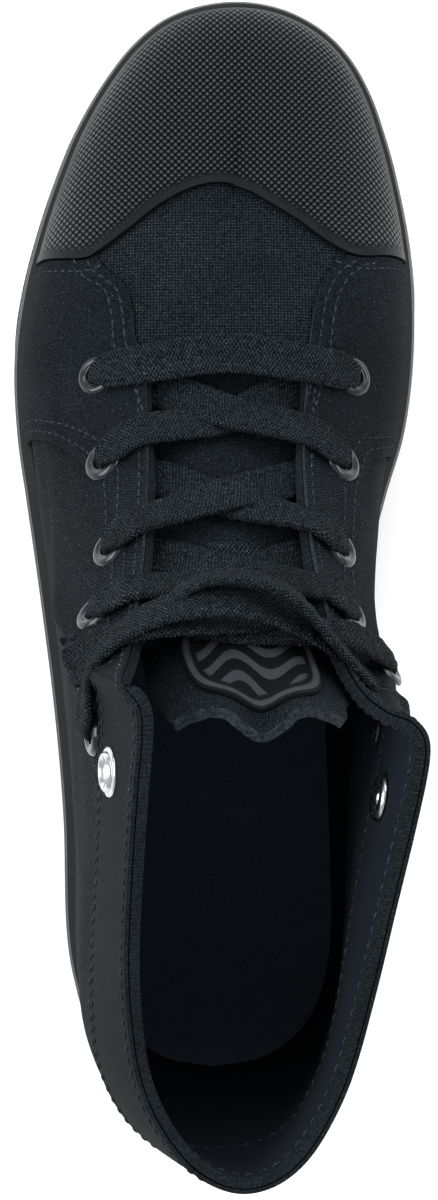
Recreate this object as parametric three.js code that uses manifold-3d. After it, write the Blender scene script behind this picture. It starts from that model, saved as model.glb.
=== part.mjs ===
// High top sneaker, left shoe, in millimetres: +Z up, +Y to the toe, +X to the inner side of the foot.
import * as THREE from "three";
import { mergeVertices } from "three/addons/utils/BufferGeometryUtils.js";
import Module from "manifold-3d";

const wasm = await Module();
wasm.setup();

// Driving sizes of the shoe
const soleLength = 261; // from the heel to the toe, without the bumper strip
const ballWidth = 97; // across the ball of the sole
const shaftHeight = 137; // from the floor to the highest point of the collar
const toeSpring = 8; // how far the toe's tip stands off the floor
const archLift = 1; // how far the waist of the sole stands off the floor

// Walls, thicknesses and clearances
const clearance = 0.3; // between pieces that meet
const upperWall = 2;
const outsoleThickness = 6;
const insoleThickness = 4.5;
const foxingHeight = 25; // top of the side wall above the underside of the sole
const foxingWall = 2.4;
const ribProud = 0.7; // how far the ribs stand out of the side wall
const bumperWall = 1.3;
const bumperBottom = 7.5;
const bumperTop = 19.5;
const capThickness = 1.3;
const capLipThickness = 0.7;
const capLipWidth = 2.2;
const overlayThickness = 0.8; // eyestays and collar band
const overlayGap = 0.5; // side by side between two overlays
const bandHeight = 27; // of the collar band, from the collar's edge down
const tongueThickness = 2.6;
const badgeThickness = 0.7;

// Eyelets, studs and lace
const eyeletFlangeRadius = 4.7;
const eyeletHoleRadius = 2.3;
const eyeletBarrelWall = 0.6;
const eyeletFlangeThickness = 0.6;
const studRadius = 5;
const studThickness = 1.4;
const studPostRadius = 1.8;
const laceWidth = 9;
const laceThickness = 1.4;

// Tread of the outsole
const treadDepth = 1.8;
const treadRim = 7;
const grooveWidth = 3;
const groovePitch = 9;

// Outline of the sole's side wall. Stations run from -1 at the toe, down the outer side, to 0 at the heel and
// up the inner side to 1 at the toe. across is a share of ballWidth and along a share of soleLength.
const outlineRows = [
  { station: -0.975, across: -0.035, along: 0.9965 },
  { station: -0.95, across: -0.127, along: 0.984 },
  { station: -0.925, across: -0.204, along: 0.961 },
  { station: -0.9, across: -0.265, along: 0.933 },
  { station: -0.875, across: -0.316, along: 0.903 },
  { station: -0.85, across: -0.359, along: 0.871 },
  { station: -0.8, across: -0.423, along: 0.807 },
  { station: -0.75, across: -0.47, along: 0.741 },
  { station: -0.7, across: -0.491, along: 0.677 },
  { station: -0.65, across: -0.484, along: 0.613 },
  { station: -0.6, across: -0.463, along: 0.556 },
  { station: -0.5, across: -0.426, along: 0.46 },
  { station: -0.4, across: -0.394, along: 0.364 },
  { station: -0.3, across: -0.371, along: 0.261 },
  { station: -0.2, across: -0.364, along: 0.161 },
  { station: -0.15, across: -0.346, along: 0.113 },
  { station: -0.1, across: -0.302, along: 0.063 },
  { station: -0.06, across: -0.222, along: 0.0275 },
  { station: -0.03, across: -0.124, along: 0.0075 },
  { station: 0, across: 0, along: 0 },
  { station: 0.03, across: 0.124, along: 0.0075 },
  { station: 0.06, across: 0.22, along: 0.0275 },
  { station: 0.1, across: 0.297, along: 0.063 },
  { station: 0.15, across: 0.338, along: 0.113 },
  { station: 0.2, across: 0.349, along: 0.161 },
  { station: 0.3, across: 0.342, along: 0.261 },
  { station: 0.4, across: 0.334, along: 0.364 },
  { station: 0.5, across: 0.351, along: 0.46 },
  { station: 0.6, across: 0.418, along: 0.559 },
  { station: 0.65, across: 0.462, along: 0.615 },
  { station: 0.7, across: 0.484, along: 0.677 },
  { station: 0.75, across: 0.486, along: 0.741 },
  { station: 0.8, across: 0.47, along: 0.797 },
  { station: 0.85, across: 0.436, along: 0.855 },
  { station: 0.875, across: 0.41, along: 0.887 },
  { station: 0.9, across: 0.375, along: 0.921 },
  { station: 0.925, across: 0.325, along: 0.952 },
  { station: 0.95, across: 0.258, along: 0.976 },
  { station: 0.975, across: 0.168, along: 0.993 },
  { station: 1, across: 0.067, along: 1 },
];

// Edge of the upper above each station: the throat, the front corners and the collar. height is a share of
// shaftHeight. lean is the angle at which the wall arrives at the edge, 90 upright and over 90 leaning out.
// rise and reach say how long the wall keeps its lower and its upper direction, flare how far it bulges out.
const edgeRows = [
  { station: -0.77, across: 0.022, along: 0.69, height: 0.416, lean: 6, rise: 0.62, reach: 0.5, flare: 0.1 },
  { station: -0.755, across: -0.046, along: 0.688, height: 0.413, lean: 9, rise: 0.6, reach: 0.5, flare: 0.1 },
  { station: -0.735, across: -0.119, along: 0.679, height: 0.41, lean: 18, rise: 0.55, reach: 0.45, flare: 0.1 },
  { station: -0.71, across: -0.161, along: 0.655, height: 0.404, lean: 30, rise: 0.5, reach: 0.4, flare: 0.1 },
  { station: -0.68, across: -0.162, along: 0.617, height: 0.449, lean: 38, rise: 0.45, reach: 0.4, flare: 0.1 },
  { station: -0.64, across: -0.159, along: 0.563, height: 0.526, lean: 46, rise: 0.42, reach: 0.38, flare: 0.08 },
  { station: -0.6, across: -0.165, along: 0.506, height: 0.623, lean: 56, rise: 0.4, reach: 0.36, flare: 0.05 },
  { station: -0.57, across: -0.177, along: 0.458, height: 0.726, lean: 63, rise: 0.4, reach: 0.35, flare: 0.03 },
  { station: -0.545, across: -0.192, along: 0.423, height: 0.836, lean: 68, rise: 0.4, reach: 0.33, flare: 0 },
  { station: -0.525, across: -0.206, along: 0.406, height: 0.931, lean: 70, rise: 0.4, reach: 0.32, flare: 0 },
  { station: -0.51, across: -0.196, along: 0.402, height: 0.982, lean: 72, rise: 0.4, reach: 0.32, flare: 0 },
  { station: -0.495, across: -0.171, along: 0.391, height: 1, lean: 73, rise: 0.4, reach: 0.32, flare: 0 },
  { station: -0.475, across: -0.165, along: 0.372, height: 0.993, lean: 74, rise: 0.4, reach: 0.32, flare: 0 },
  { station: -0.44, across: -0.173, along: 0.335, height: 0.971, lean: 74, rise: 0.4, reach: 0.32, flare: 0 },
  { station: -0.36, across: -0.186, along: 0.264, height: 0.936, lean: 73, rise: 0.4, reach: 0.32, flare: 0 },
  { station: -0.28, across: -0.193, along: 0.195, height: 0.907, lean: 71, rise: 0.4, reach: 0.32, flare: 0 },
  { station: -0.2, across: -0.181, along: 0.134, height: 0.883, lean: 67, rise: 0.4, reach: 0.32, flare: 0.02 },
  { station: -0.15, across: -0.158, along: 0.098, height: 0.871, lean: 65, rise: 0.4, reach: 0.32, flare: 0.04 },
  { station: -0.1, across: -0.113, along: 0.065, height: 0.863, lean: 68, rise: 0.38, reach: 0.34, flare: 0.06 },
  { station: -0.05, across: -0.054, along: 0.0405, height: 0.861, lean: 78, rise: 0.36, reach: 0.36, flare: 0.08 },
  { station: 0, across: 0.019, along: 0.0285, height: 0.861, lean: 90, rise: 0.34, reach: 0.38, flare: 0.08 },
  { station: 0.05, across: 0.088, along: 0.0325, height: 0.861, lean: 92, rise: 0.36, reach: 0.36, flare: 0.08 },
  { station: 0.1, across: 0.149, along: 0.05, height: 0.864, lean: 92, rise: 0.38, reach: 0.34, flare: 0.06 },
  { station: 0.15, across: 0.199, along: 0.079, height: 0.869, lean: 93, rise: 0.4, reach: 0.32, flare: 0.04 },
  { station: 0.2, across: 0.239, along: 0.115, height: 0.878, lean: 94, rise: 0.4, reach: 0.32, flare: 0.04 },
  { station: 0.28, across: 0.281, along: 0.176, height: 0.896, lean: 97, rise: 0.4, reach: 0.32, flare: 0.08 },
  { station: 0.36, across: 0.32, along: 0.243, height: 0.917, lean: 100, rise: 0.4, reach: 0.32, flare: 0.12 },
  { station: 0.44, across: 0.357, along: 0.3065, height: 0.9365, lean: 102, rise: 0.4, reach: 0.3, flare: 0.16 },
  { station: 0.475, across: 0.377, along: 0.347, height: 0.947, lean: 103, rise: 0.4, reach: 0.3, flare: 0.18 },
  { station: 0.495, across: 0.375, along: 0.366, height: 0.949, lean: 102, rise: 0.4, reach: 0.3, flare: 0.2 },
  { station: 0.51, across: 0.3505, along: 0.377, height: 0.938, lean: 100, rise: 0.4, reach: 0.3, flare: 0.2 },
  { station: 0.525, across: 0.3155, along: 0.3815, height: 0.909, lean: 96, rise: 0.4, reach: 0.3, flare: 0.2 },
  { station: 0.545, across: 0.268, along: 0.3965, height: 0.843, lean: 88, rise: 0.4, reach: 0.3, flare: 0.2 },
  { station: 0.57, across: 0.225, along: 0.433, height: 0.752, lean: 76, rise: 0.4, reach: 0.32, flare: 0.18 },
  { station: 0.6, across: 0.192, along: 0.49, height: 0.646, lean: 62, rise: 0.4, reach: 0.34, flare: 0.14 },
  { station: 0.64, across: 0.1815, along: 0.5555, height: 0.535, lean: 50, rise: 0.42, reach: 0.38, flare: 0.1 },
  { station: 0.68, across: 0.188, along: 0.613, height: 0.451, lean: 40, rise: 0.45, reach: 0.4, flare: 0.1 },
  { station: 0.71, across: 0.198, along: 0.655, height: 0.404, lean: 32, rise: 0.5, reach: 0.4, flare: 0.1 },
  { station: 0.735, across: 0.16, along: 0.68, height: 0.409, lean: 18, rise: 0.55, reach: 0.45, flare: 0.1 },
  { station: 0.755, across: 0.093, along: 0.6885, height: 0.414, lean: 9, rise: 0.6, reach: 0.5, flare: 0.1 },
  { station: 0.77, across: 0.022, along: 0.69, height: 0.416, lean: 6, rise: 0.62, reach: 0.5, flare: 0.1 },
];

// Middle line of the vamp and the toe, where both sides meet, from the foot of the throat to the toe.
const ridgeRows = [
  { station: 0.77, across: 0.022, along: 0.69, height: 0.416, lean: 6, rise: 0.62, reach: 0.5, flare: 0.1 },
  { station: 0.8, across: 0.024, along: 0.716, height: 0.404, lean: 7, rise: 0.64, reach: 0.5, flare: 0.1 },
  { station: 0.85, across: 0.029, along: 0.762, height: 0.383, lean: 8, rise: 0.66, reach: 0.5, flare: 0.08 },
  { station: 0.9, across: 0.035, along: 0.799, height: 0.365, lean: 9, rise: 0.7, reach: 0.5, flare: 0.05 },
  { station: 0.95, across: 0.042, along: 0.831, height: 0.349, lean: 11, rise: 0.72, reach: 0.52, flare: 0.03 },
  { station: 1, across: 0.049, along: 0.86, height: 0.335, lean: 13, rise: 0.74, reach: 0.54, flare: 0 },
];

const throatStation = 0.77; // where the throat ends and the two sides meet
const wallShare = 0.16; // share of a rib that stands upright behind the side wall

// Columns of the upper's grid: from, to and the number of steps, finer at the corners and the throat's foot.
const columnBreaks = [
  { from: 0, to: 0.44, steps: 9 },
  { from: 0.44, to: 0.54, steps: 6 },
  { from: 0.54, to: 0.7, steps: 5 },
  { from: 0.7, to: 0.77, steps: 3 },
  { from: 0.77, to: 1, steps: 7 },
];
const wallRows = 1;
const ribRows = 7;

// General helpers
const radians = Math.PI / 180;
const up = new THREE.Vector3(0, 0, 1);
const columnNames = Object.keys(edgeRows[0]).filter((name) => name !== "station");

function smoothstep(low, high, value) {
  const share = Math.min(1, Math.max(0, (value - low) / (high - low)));
  return share * share * (3 - 2 * share);
}

// A smooth curve through the rows of a table, read at one place for one column. A table with a period is closed.
function readTable(rows, column, asked, period = 0) {
  const count = rows.length;
  const lastStation = rows[count - 1].station;
  const turns = period ? Math.ceil((asked - lastStation) / period - 1e-9) : 0;
  const station = asked - turns * period;
  const row = (index) => {
    if (!period) return rows[Math.min(count - 1, Math.max(0, index))];
    return rows[((index % count) + count) % count];
  };
  const place = (index) => {
    if (!period) return row(index).station;
    return row(index).station + period * Math.floor(index / count);
  };
  let index = -1;
  while (index < count - 1 && place(index + 1) <= station) index += 1;
  if (!period) index = Math.min(count - 2, Math.max(0, index));
  const slope = (at) => {
    const width = place(at + 1) - place(at - 1);
    return (row(at + 1)[column] - row(at - 1)[column]) / width;
  };
  const width = place(index + 1) - place(index);
  const share = (station - place(index)) / width;
  const square = share * share;
  const cube = square * share;
  const first = row(index)[column];
  const second = row(index + 1)[column];
  return (
    (2 * cube - 3 * square + 1) * first +
    (cube - 2 * square + share) * width * slope(index) +
    (3 * square - 2 * cube) * second +
    (cube - square) * width * slope(index + 1)
  );
}

// Height of the sole's underside above the floor.
const springStart = 0.715 * soleLength;
const archStart = 0.3 * soleLength;
const archEnd = 0.55 * soleLength;
function floorRise(along) {
  const springShare = Math.max(0, (along - springStart) / (soleLength - springStart));
  const archShare = Math.min(1, Math.max(0, (along - archStart) / (archEnd - archStart)));
  return toeSpring * springShare ** 1.8 + archLift * Math.sin(Math.PI * archShare) ** 2;
}

// A point of the side wall's outline, moved inwards by inset.
function outlinePoint(station, inset = 0) {
  const at = (place) =>
    new THREE.Vector2(
      ballWidth * readTable(outlineRows, "across", place, 2),
      soleLength * readTable(outlineRows, "along", place, 2),
    );
  const step = 0.002;
  const tangent = at(station + step).sub(at(station - step)).normalize();
  const inward = new THREE.Vector2(-tangent.y, tangent.x);
  return { point: at(station).addScaledVector(inward, inset), inward };
}

// Ribs of the upper: upright behind the side wall, then a curve to the edge or to the middle line.
const upperInset = foxingWall + clearance;
const upperBottom = outsoleThickness + clearance;

function ribShape(station) {
  const share = Math.abs(station);
  const rows = share < throatStation ? edgeRows : ridgeRows;
  const place = share < throatStation ? station : share;
  const values = {};
  for (const name of columnNames) values[name] = readTable(rows, name, place);
  const { point, inward } = outlinePoint(station, upperInset);
  const foot = new THREE.Vector3(point.x, point.y, floorRise(point.y) + upperBottom);
  const shoulder = new THREE.Vector3(point.x, point.y, floorRise(point.y) + foxingHeight);
  const edge = new THREE.Vector3(
    ballWidth * values.across,
    soleLength * values.along,
    shaftHeight * values.height,
  );
  const straight = new THREE.Vector3(inward.x, inward.y, 0);
  const towards = edge.clone().sub(shoulder).setZ(0).normalize();
  const turn = smoothstep(0.55, throatStation, share);
  const level = straight.clone().lerp(towards, turn).normalize();
  const arrive = level.clone().multiplyScalar(Math.cos(values.lean * radians));
  arrive.addScaledVector(up, Math.sin(values.lean * radians));
  const leave = up.clone().addScaledVector(straight, -values.flare).normalize();
  const first = shoulder.clone().addScaledVector(leave, values.rise * (edge.z - shoulder.z));
  const second = edge.clone().addScaledVector(arrive, -values.reach * edge.distanceTo(shoulder));
  return { foot, shoulder, curve: new THREE.CubicBezierCurve3(shoulder, first, second, edge) };
}

function ribPoint(rib, height) {
  if (height <= wallShare) return rib.foot.clone().lerp(rib.shoulder, height / wallShare);
  return rib.curve.getPoint((height - wallShare) / (1 - wallShare));
}

const surfacePoint = (station, height) => ribPoint(ribShape(station), height);

// The outward direction of the upper's surface at one place.
function surfaceNormal(station, height, step = 0.004) {
  const below = Math.min(height, 1 - step);
  const along = surfacePoint(station + step, below).sub(surfacePoint(station - step, below));
  const upward = surfacePoint(station, below + step).sub(surfacePoint(station, below - step));
  return along.cross(upward).normalize();
}

// The share of a rib at which it first reaches a height above the floor.
function ribShareAt(station, level) {
  const rib = ribShape(station);
  let low = wallShare;
  let high = 1;
  for (let turn = 0; turn < 30; turn += 1) {
    const middle = (low + high) / 2;
    if (ribPoint(rib, middle).z < level) low = middle;
    else high = middle;
  }
  return (low + high) / 2;
}

// Solids: closed meshes that can be joined and cut.
function solidFrom(geometry) {
  const bare = geometry.clone();
  for (const name of Object.keys(bare.attributes)) {
    if (name !== "position") bare.deleteAttribute(name);
  }
  const merged = mergeVertices(bare, 1e-4);
  return new wasm.Manifold(
    new wasm.Mesh({
      numProp: 3,
      vertProperties: merged.attributes.position.array,
      triVerts: new Uint32Array(merged.index.array),
    }),
  );
}

function solidFromFaces(points, faces) {
  const geometry = new THREE.BufferGeometry().setFromPoints(points);
  geometry.setIndex(faces.flat());
  return solidFrom(geometry);
}

function joined(solids) {
  return solids.reduce((whole, solid) => whole.add(solid));
}

const meshes = new THREE.Group();
function addMesh(name, solid, material) {
  const data = solid.getMesh();
  const geometry = new THREE.BufferGeometry();
  geometry.setAttribute("position", new THREE.BufferAttribute(data.vertProperties, 3));
  geometry.setIndex(new THREE.BufferAttribute(data.triVerts, 1));
  geometry.computeVertexNormals();
  const mesh = new THREE.Mesh(geometry, material);
  mesh.name = name;
  meshes.add(mesh);
}

// A skin is an open surface of shared points, with a direction at each point.
function makeSkin(grid, closedRound) {
  const points = [];
  const keys = new Map();
  const indexOf = (point) => {
    const key = point.toArray().map((value) => Math.round(value * 1000)).join(",");
    if (!keys.has(key)) {
      keys.set(key, points.length);
      points.push(point);
    }
    return keys.get(key);
  };
  const indices = grid.map((column) => column.map(indexOf));
  const faces = [];
  const columns = closedRound ? grid.length : grid.length - 1;
  for (let column = 0; column < columns; column += 1) {
    const here = indices[column];
    const next = indices[(column + 1) % grid.length];
    for (let row = 0; row < here.length - 1; row += 1) {
      faces.push([here[row], next[row], next[row + 1]]);
      faces.push([here[row], next[row + 1], here[row + 1]]);
    }
  }
  const whole = faces.filter(([a, b, c]) => a !== b && b !== c && a !== c);
  const normals = points.map(() => new THREE.Vector3());
  for (const [a, b, c] of whole) {
    const side = points[b].clone().sub(points[a]);
    const normal = side.cross(points[c].clone().sub(points[a]));
    for (const index of [a, b, c]) normals[index].add(normal);
  }
  normals.forEach((normal) => normal.normalize());
  return { points, faces: whole, normals };
}

// The closed solid between two distances from a skin.
function shell(skin, inner, outer) {
  const move = (distance) =>
    skin.points.map((point, index) => point.clone().addScaledVector(skin.normals[index], distance));
  const count = skin.points.length;
  const points = [...move(outer), ...move(inner)];
  const faces = [];
  const open = new Map();
  for (const [a, b, c] of skin.faces) {
    faces.push([a, b, c]);
    faces.push([a + count, c + count, b + count]);
    for (const [from, to] of [[a, b], [b, c], [c, a]]) {
      if (open.has(`${to},${from}`)) open.delete(`${to},${from}`);
      else open.set(`${from},${to}`, [from, to]);
    }
  }
  for (const [from, to] of open.values()) {
    faces.push([to, from, from + count]);
    faces.push([to, from + count, to + count]);
  }
  return solidFromFaces(points, faces);
}

// A prism that stands on a plan outline of [across, along] points in millimetres.
const prismHeight = 200;
const prismBelowFloor = 20;
function planPrism(outline) {
  const shape = new THREE.Shape(outline.map(([across, along]) => new THREE.Vector2(across, along)));
  const geometry = new THREE.ExtrudeGeometry(shape, { depth: prismHeight, bevelEnabled: false, curveSegments: 1 });
  geometry.translate(0, 0, -prismBelowFloor);
  return solidFrom(geometry);
}

// A slab across the whole shoe between two curves of height over the length.
const slabWidth = 200;
function lengthSlab(bottomOf, topOf, from, to, steps) {
  const places = Array.from({ length: steps + 1 }, (_, index) => from + ((to - from) * index) / steps);
  const outline = [
    ...places.map((along) => new THREE.Vector2(along, bottomOf(along))),
    ...places.reverse().map((along) => new THREE.Vector2(along, topOf(along))),
  ];
  const geometry = new THREE.ExtrudeGeometry(new THREE.Shape(outline), { depth: slabWidth, bevelEnabled: false });
  const basis = new THREE.Matrix4().makeBasis(
    new THREE.Vector3(0, 1, 0),
    new THREE.Vector3(0, 0, 1),
    new THREE.Vector3(1, 0, 0),
  );
  geometry.applyMatrix4(basis);
  geometry.translate(-slabWidth / 2, 0, 0);
  return solidFrom(geometry);
}

// A round piece turned about the line through a point along a direction.
function turned(profile, segments, point, direction) {
  const outline = profile.map(([radius, height]) => new THREE.Vector2(radius, height));
  const geometry = new THREE.LatheGeometry([...outline, outline[0].clone()], segments);
  geometry.applyQuaternion(new THREE.Quaternion().setFromUnitVectors(new THREE.Vector3(0, 1, 0), direction));
  geometry.translate(point.x, point.y, point.z);
  return solidFrom(geometry);
}

const drillSides = 6;
function drill(radius, point, direction) {
  const depth = 12;
  const corner = radius / Math.cos(Math.PI / drillSides);
  const geometry = new THREE.CylinderGeometry(corner, corner, depth, drillSides);
  geometry.applyQuaternion(new THREE.Quaternion().setFromUnitVectors(new THREE.Vector3(0, 1, 0), direction));
  geometry.translate(point.x, point.y, point.z);
  return solidFrom(geometry);
}

// Materials
const finish = (color, roughness, metalness = 0) =>
  new THREE.MeshStandardMaterial({ color, roughness, metalness });
const rubber = finish(0x101216, 0.45);
const capRubber = finish(0x24272b, 0.6);
const canvas = finish(0x0c0e12, 0.95);
const facing = finish(0x101217, 0.9);
const webbing = finish(0x15171c, 0.85);
const lining = finish(0x0a0c11, 0.95);
const badgeCloth = finish(0x2a2c30, 0.8);
const blackMetal = finish(0x08090b, 0.2, 0.7);
const silver = finish(0xb0b2b6, 0.3, 0.9);

// The upper's skin: every column is a rib, and the two sides share the middle line.
const stations = [0];
for (const { from, to, steps } of columnBreaks) {
  for (let step = 1; step <= steps; step += 1) stations.push(from + ((to - from) * step) / steps);
}
const roundStations = [...stations.slice(1, -1).reverse().map((value) => -value), ...stations];

const wallHeights = Array.from({ length: wallRows }, (_, index) => (wallShare * index) / wallRows);
const ribHeights = Array.from(
  { length: ribRows + 1 },
  (_, index) => wallShare + ((1 - wallShare) * index) / ribRows,
);
function skinOf(heights) {
  const grid = roundStations.map((station) => {
    const rib = ribShape(station);
    return heights.map((height) => ribPoint(rib, height));
  });
  return makeSkin(grid, true);
}
const upperSkin = skinOf([...wallHeights, ...ribHeights]);
const overlaySkin = skinOf([wallShare + 0.01, ...ribHeights.slice(1)]);

// Sole
const outlineStations = roundStations;
function soleOutline(inset) {
  return outlineStations.map((station) => outlinePoint(station, inset).point.toArray());
}

const slabMargin = 5; // past both ends of the sole
const slabStart = -slabMargin;
const slabEnd = soleLength + slabMargin;
const slabSteps = 40;
function soleSlab(bottom, top) {
  return lengthSlab(
    (along) => floorRise(along) + bottom,
    (along) => floorRise(along) + top,
    slabStart,
    slabEnd,
    slabSteps,
  );
}

function outsole() {
  const body = planPrism(soleOutline(0)).intersect(soleSlab(0, outsoleThickness));
  const grooves = [];
  const zones = [
    { from: 0.05 * soleLength, to: 0.28 * soleLength },
    { from: 0.53 * soleLength, to: 0.93 * soleLength },
  ];
  for (const { from, to } of zones) {
    const count = Math.floor((to - from) / groovePitch);
    for (let index = 0; index < count; index += 1) {
      const start = from + index * groovePitch;
      grooves.push(
        lengthSlab(
          (along) => floorRise(along) - treadDepth,
          (along) => floorRise(along) + treadDepth,
          start,
          start + grooveWidth,
          1,
        ),
      );
    }
  }
  const field = planPrism(soleOutline(treadRim));
  return body.subtract(field.intersect(joined(grooves)));
}

function insole() {
  const inset = upperInset + upperWall + clearance;
  const bottom = upperBottom;
  return planPrism(soleOutline(inset)).intersect(soleSlab(bottom, bottom + insoleThickness));
}

// A closed strip whose section is a list of [inset, height] points, swept along stations of the outline.
function sweptStrip(places, sectionOf, closedRound) {
  const rings = places.map((station) =>
    sectionOf(station).map(([inset, height]) => {
      const { point } = outlinePoint(station, inset);
      return new THREE.Vector3(point.x, point.y, floorRise(point.y) + height);
    }),
  );
  const size = rings[0].length;
  const points = rings.flat();
  const faces = [];
  const count = closedRound ? rings.length : rings.length - 1;
  for (let ring = 0; ring < count; ring += 1) {
    const next = (ring + 1) % rings.length;
    for (let corner = 0; corner < size; corner += 1) {
      const other = (corner + 1) % size;
      const here = [ring * size + corner, ring * size + other, next * size + other, next * size + corner];
      faces.push([here[0], here[1], here[2]]);
      faces.push([here[0], here[2], here[3]]);
    }
  }
  if (!closedRound) {
    const last = (rings.length - 1) * size;
    for (let corner = 1; corner < size - 1; corner += 1) {
      faces.push([0, corner + 1, corner]);
      faces.push([last, last + corner, last + corner + 1]);
    }
  }
  return solidFromFaces(points, faces);
}

const wallRib = { start: 0.8, end: 2, foot: 2.8 }; // down from the wall's top
const wallBead = { proud: 0.4, shoulder: 0.8, end: 1.5 }; // along the wall's bottom, up from it
function foxing() {
  const back = foxingWall;
  const bottom = upperBottom;
  const top = foxingHeight - clearance;
  const section = [
    [back, bottom],
    [back, top],
    [0, top],
    [-ribProud, top - wallRib.start],
    [-ribProud, top - wallRib.end],
    [0, top - wallRib.foot],
    [0, bottom + wallBead.end],
    [-wallBead.proud, bottom + wallBead.shoulder],
    [-wallBead.proud, bottom],
  ];
  return sweptStrip(roundStations, () => section, true);
}

const bumperOuterEnd = 0.66;
const bumperInnerEnd = 0.68;
const bumperThinWall = 0.4; // where the strip runs out
const bumperBevel = 0.5;
const bumperFade = { before: 0.02, after: 0.08 }; // stations over which the strip gains its full wall
function toeBumper() {
  const outer = stations.filter((station) => station > bumperOuterEnd);
  const inner = stations.filter((station) => station > bumperInnerEnd && station < 1);
  const places = [
    ...inner.map((station) => station),
    1,
    ...outer.filter((station) => station < 1).reverse().map((station) => 2 - station),
  ];
  const section = (place) => {
    const share = place > 1 ? 2 - place : place;
    const end = place > 1 ? bumperOuterEnd : bumperInnerEnd;
    const full = smoothstep(end - bumperFade.before, end + bumperFade.after, share);
    const wall = bumperThinWall + (bumperWall - bumperThinWall) * full;
    return [
      [-clearance, bumperBottom],
      [-clearance, bumperTop],
      [-clearance - wall, bumperTop - bumperBevel],
      [-clearance - wall, bumperBottom + bumperBevel],
    ];
  };
  return sweptStrip(places, section, false);
}

// A prism on a side outline of [along, height] points, from one place across the shoe to another.
function sidePrism(outline, from, to) {
  const shape = new THREE.Shape(outline.map(([along, height]) => new THREE.Vector2(along, height)));
  const geometry = new THREE.ExtrudeGeometry(shape, { depth: to - from, bevelEnabled: false });
  const basis = new THREE.Matrix4().makeBasis(
    new THREE.Vector3(0, 1, 0),
    new THREE.Vector3(0, 0, 1),
    new THREE.Vector3(1, 0, 0),
  );
  geometry.applyMatrix4(basis);
  geometry.translate(from, 0, 0);
  return solidFrom(geometry);
}

const inPlan = ({ across, along }) => [across * ballWidth, along * soleLength];
const inSide = ({ along, height }) => [along * soleLength, height * shaftHeight];

// Rear edge of the toe cap in plan, from the outer side to the inner side.
const capEdgeRows = [
  { across: -0.6, along: 0.765 },
  { across: -0.409, along: 0.765 },
  { across: -0.314, along: 0.76 },
  { across: -0.289, along: 0.762 },
  { across: -0.209, along: 0.783 },
  { across: -0.14, along: 0.804 },
  { across: -0.061, along: 0.82 },
  { across: 0.01, along: 0.825 },
  { across: 0.07, along: 0.818 },
  { across: 0.12, along: 0.807 },
  { across: 0.184, along: 0.792 },
  { across: 0.242, along: 0.776 },
  { across: 0.297, along: 0.765 },
  { across: 0.335, along: 0.763 },
  { across: 0.412, along: 0.768 },
  { across: 0.6, along: 0.772 },
];
const capFarEnd = 1.1;

function capPrism(shift) {
  const edge = capEdgeRows.map(inPlan).map(([across, along]) => [across, along + shift]);
  const far = capFarEnd * soleLength;
  return planPrism([...edge, [edge.at(-1)[0], far], [edge[0][0], far]]);
}

function toeCap() {
  const cap = shell(overlaySkin, clearance, clearance + capThickness).intersect(capPrism(0));
  const lipOuter = clearance + capThickness + capLipThickness;
  const lip = shell(overlaySkin, clearance, lipOuter);
  return cap.add(lip.intersect(capPrism(0)).subtract(capPrism(capLipWidth)));
}

// Front edges of the two facings in plan, round the part of the vamp that stays bare.
const vampOpeningRows = [
  { across: -0.285, along: 0.9 },
  { across: -0.285, along: 0.762 },
  { across: -0.268, along: 0.752 },
  { across: -0.247, along: 0.745 },
  { across: -0.216, along: 0.733 },
  { across: -0.199, along: 0.71 },
  { across: -0.191, along: 0.687 },
  { across: -0.165, along: 0.668 },
  { across: -0.14, along: 0.64 },
  { across: 0.18, along: 0.64 },
  { across: 0.2, along: 0.668 },
  { across: 0.208, along: 0.684 },
  { across: 0.224, along: 0.719 },
  { across: 0.251, along: 0.744 },
  { across: 0.279, along: 0.756 },
  { across: 0.3, along: 0.762 },
  { across: 0.3, along: 0.9 },
];

// Rear seams of the facings seen from the side, from the side wall up to the collar band.
const outerSeamRows = [
  { along: 0.6, height: 0.1 },
  { along: 0.603, height: 0.3 },
  { along: 0.574, height: 0.42 },
  { along: 0.511, height: 0.52 },
  { along: 0.478, height: 0.59 },
  { along: 0.433, height: 0.66 },
  { along: 0.378, height: 0.715 },
  { along: 0.32, height: 0.745 },
];
const innerSeamRows = [
  { along: 0.59, height: 0.1 },
  { along: 0.585, height: 0.36 },
  { along: 0.556, height: 0.42 },
  { along: 0.518, height: 0.475 },
  { along: 0.478, height: 0.54 },
  { along: 0.433, height: 0.6 },
  { along: 0.378, height: 0.645 },
  { along: 0.32, height: 0.69 },
];

// Collar edge seen from the side; the band's lower edge runs bandHeight below it.
const outerCollarRows = [
  { along: -0.05, height: 0.855 },
  { along: 0.035, height: 0.861 },
  { along: 0.134, height: 0.883 },
  { along: 0.264, height: 0.936 },
  { along: 0.38, height: 0.985 },
  { along: 0.6, height: 1.08 },
];
const innerCollarRows = [
  { along: -0.05, height: 0.855 },
  { along: 0.035, height: 0.861 },
  { along: 0.134, height: 0.882 },
  { along: 0.243, height: 0.917 },
  { along: 0.38, height: 0.948 },
  { along: 0.6, height: 1.01 },
];
const wideAcross = 90;
const tallHeight = 1.5;

function bandLine(rows, shift) {
  return rows.map(inSide).map(([along, height]) => [along, height - bandHeight + shift]);
}

function bandRegion(rows, shift, from, to) {
  const line = bandLine(rows, shift);
  const top = tallHeight * shaftHeight;
  return sidePrism([...line, [line.at(-1)[0], top], [line[0][0], top]], from, to);
}

function collarBand() {
  const cloth = shell(overlaySkin, clearance, clearance + overlayThickness);
  const outer = bandRegion(outerCollarRows, 0, -wideAcross, 0);
  const inner = bandRegion(innerCollarRows, 0, 0, wideAcross);
  return cloth.intersect(outer.add(inner));
}

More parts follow.
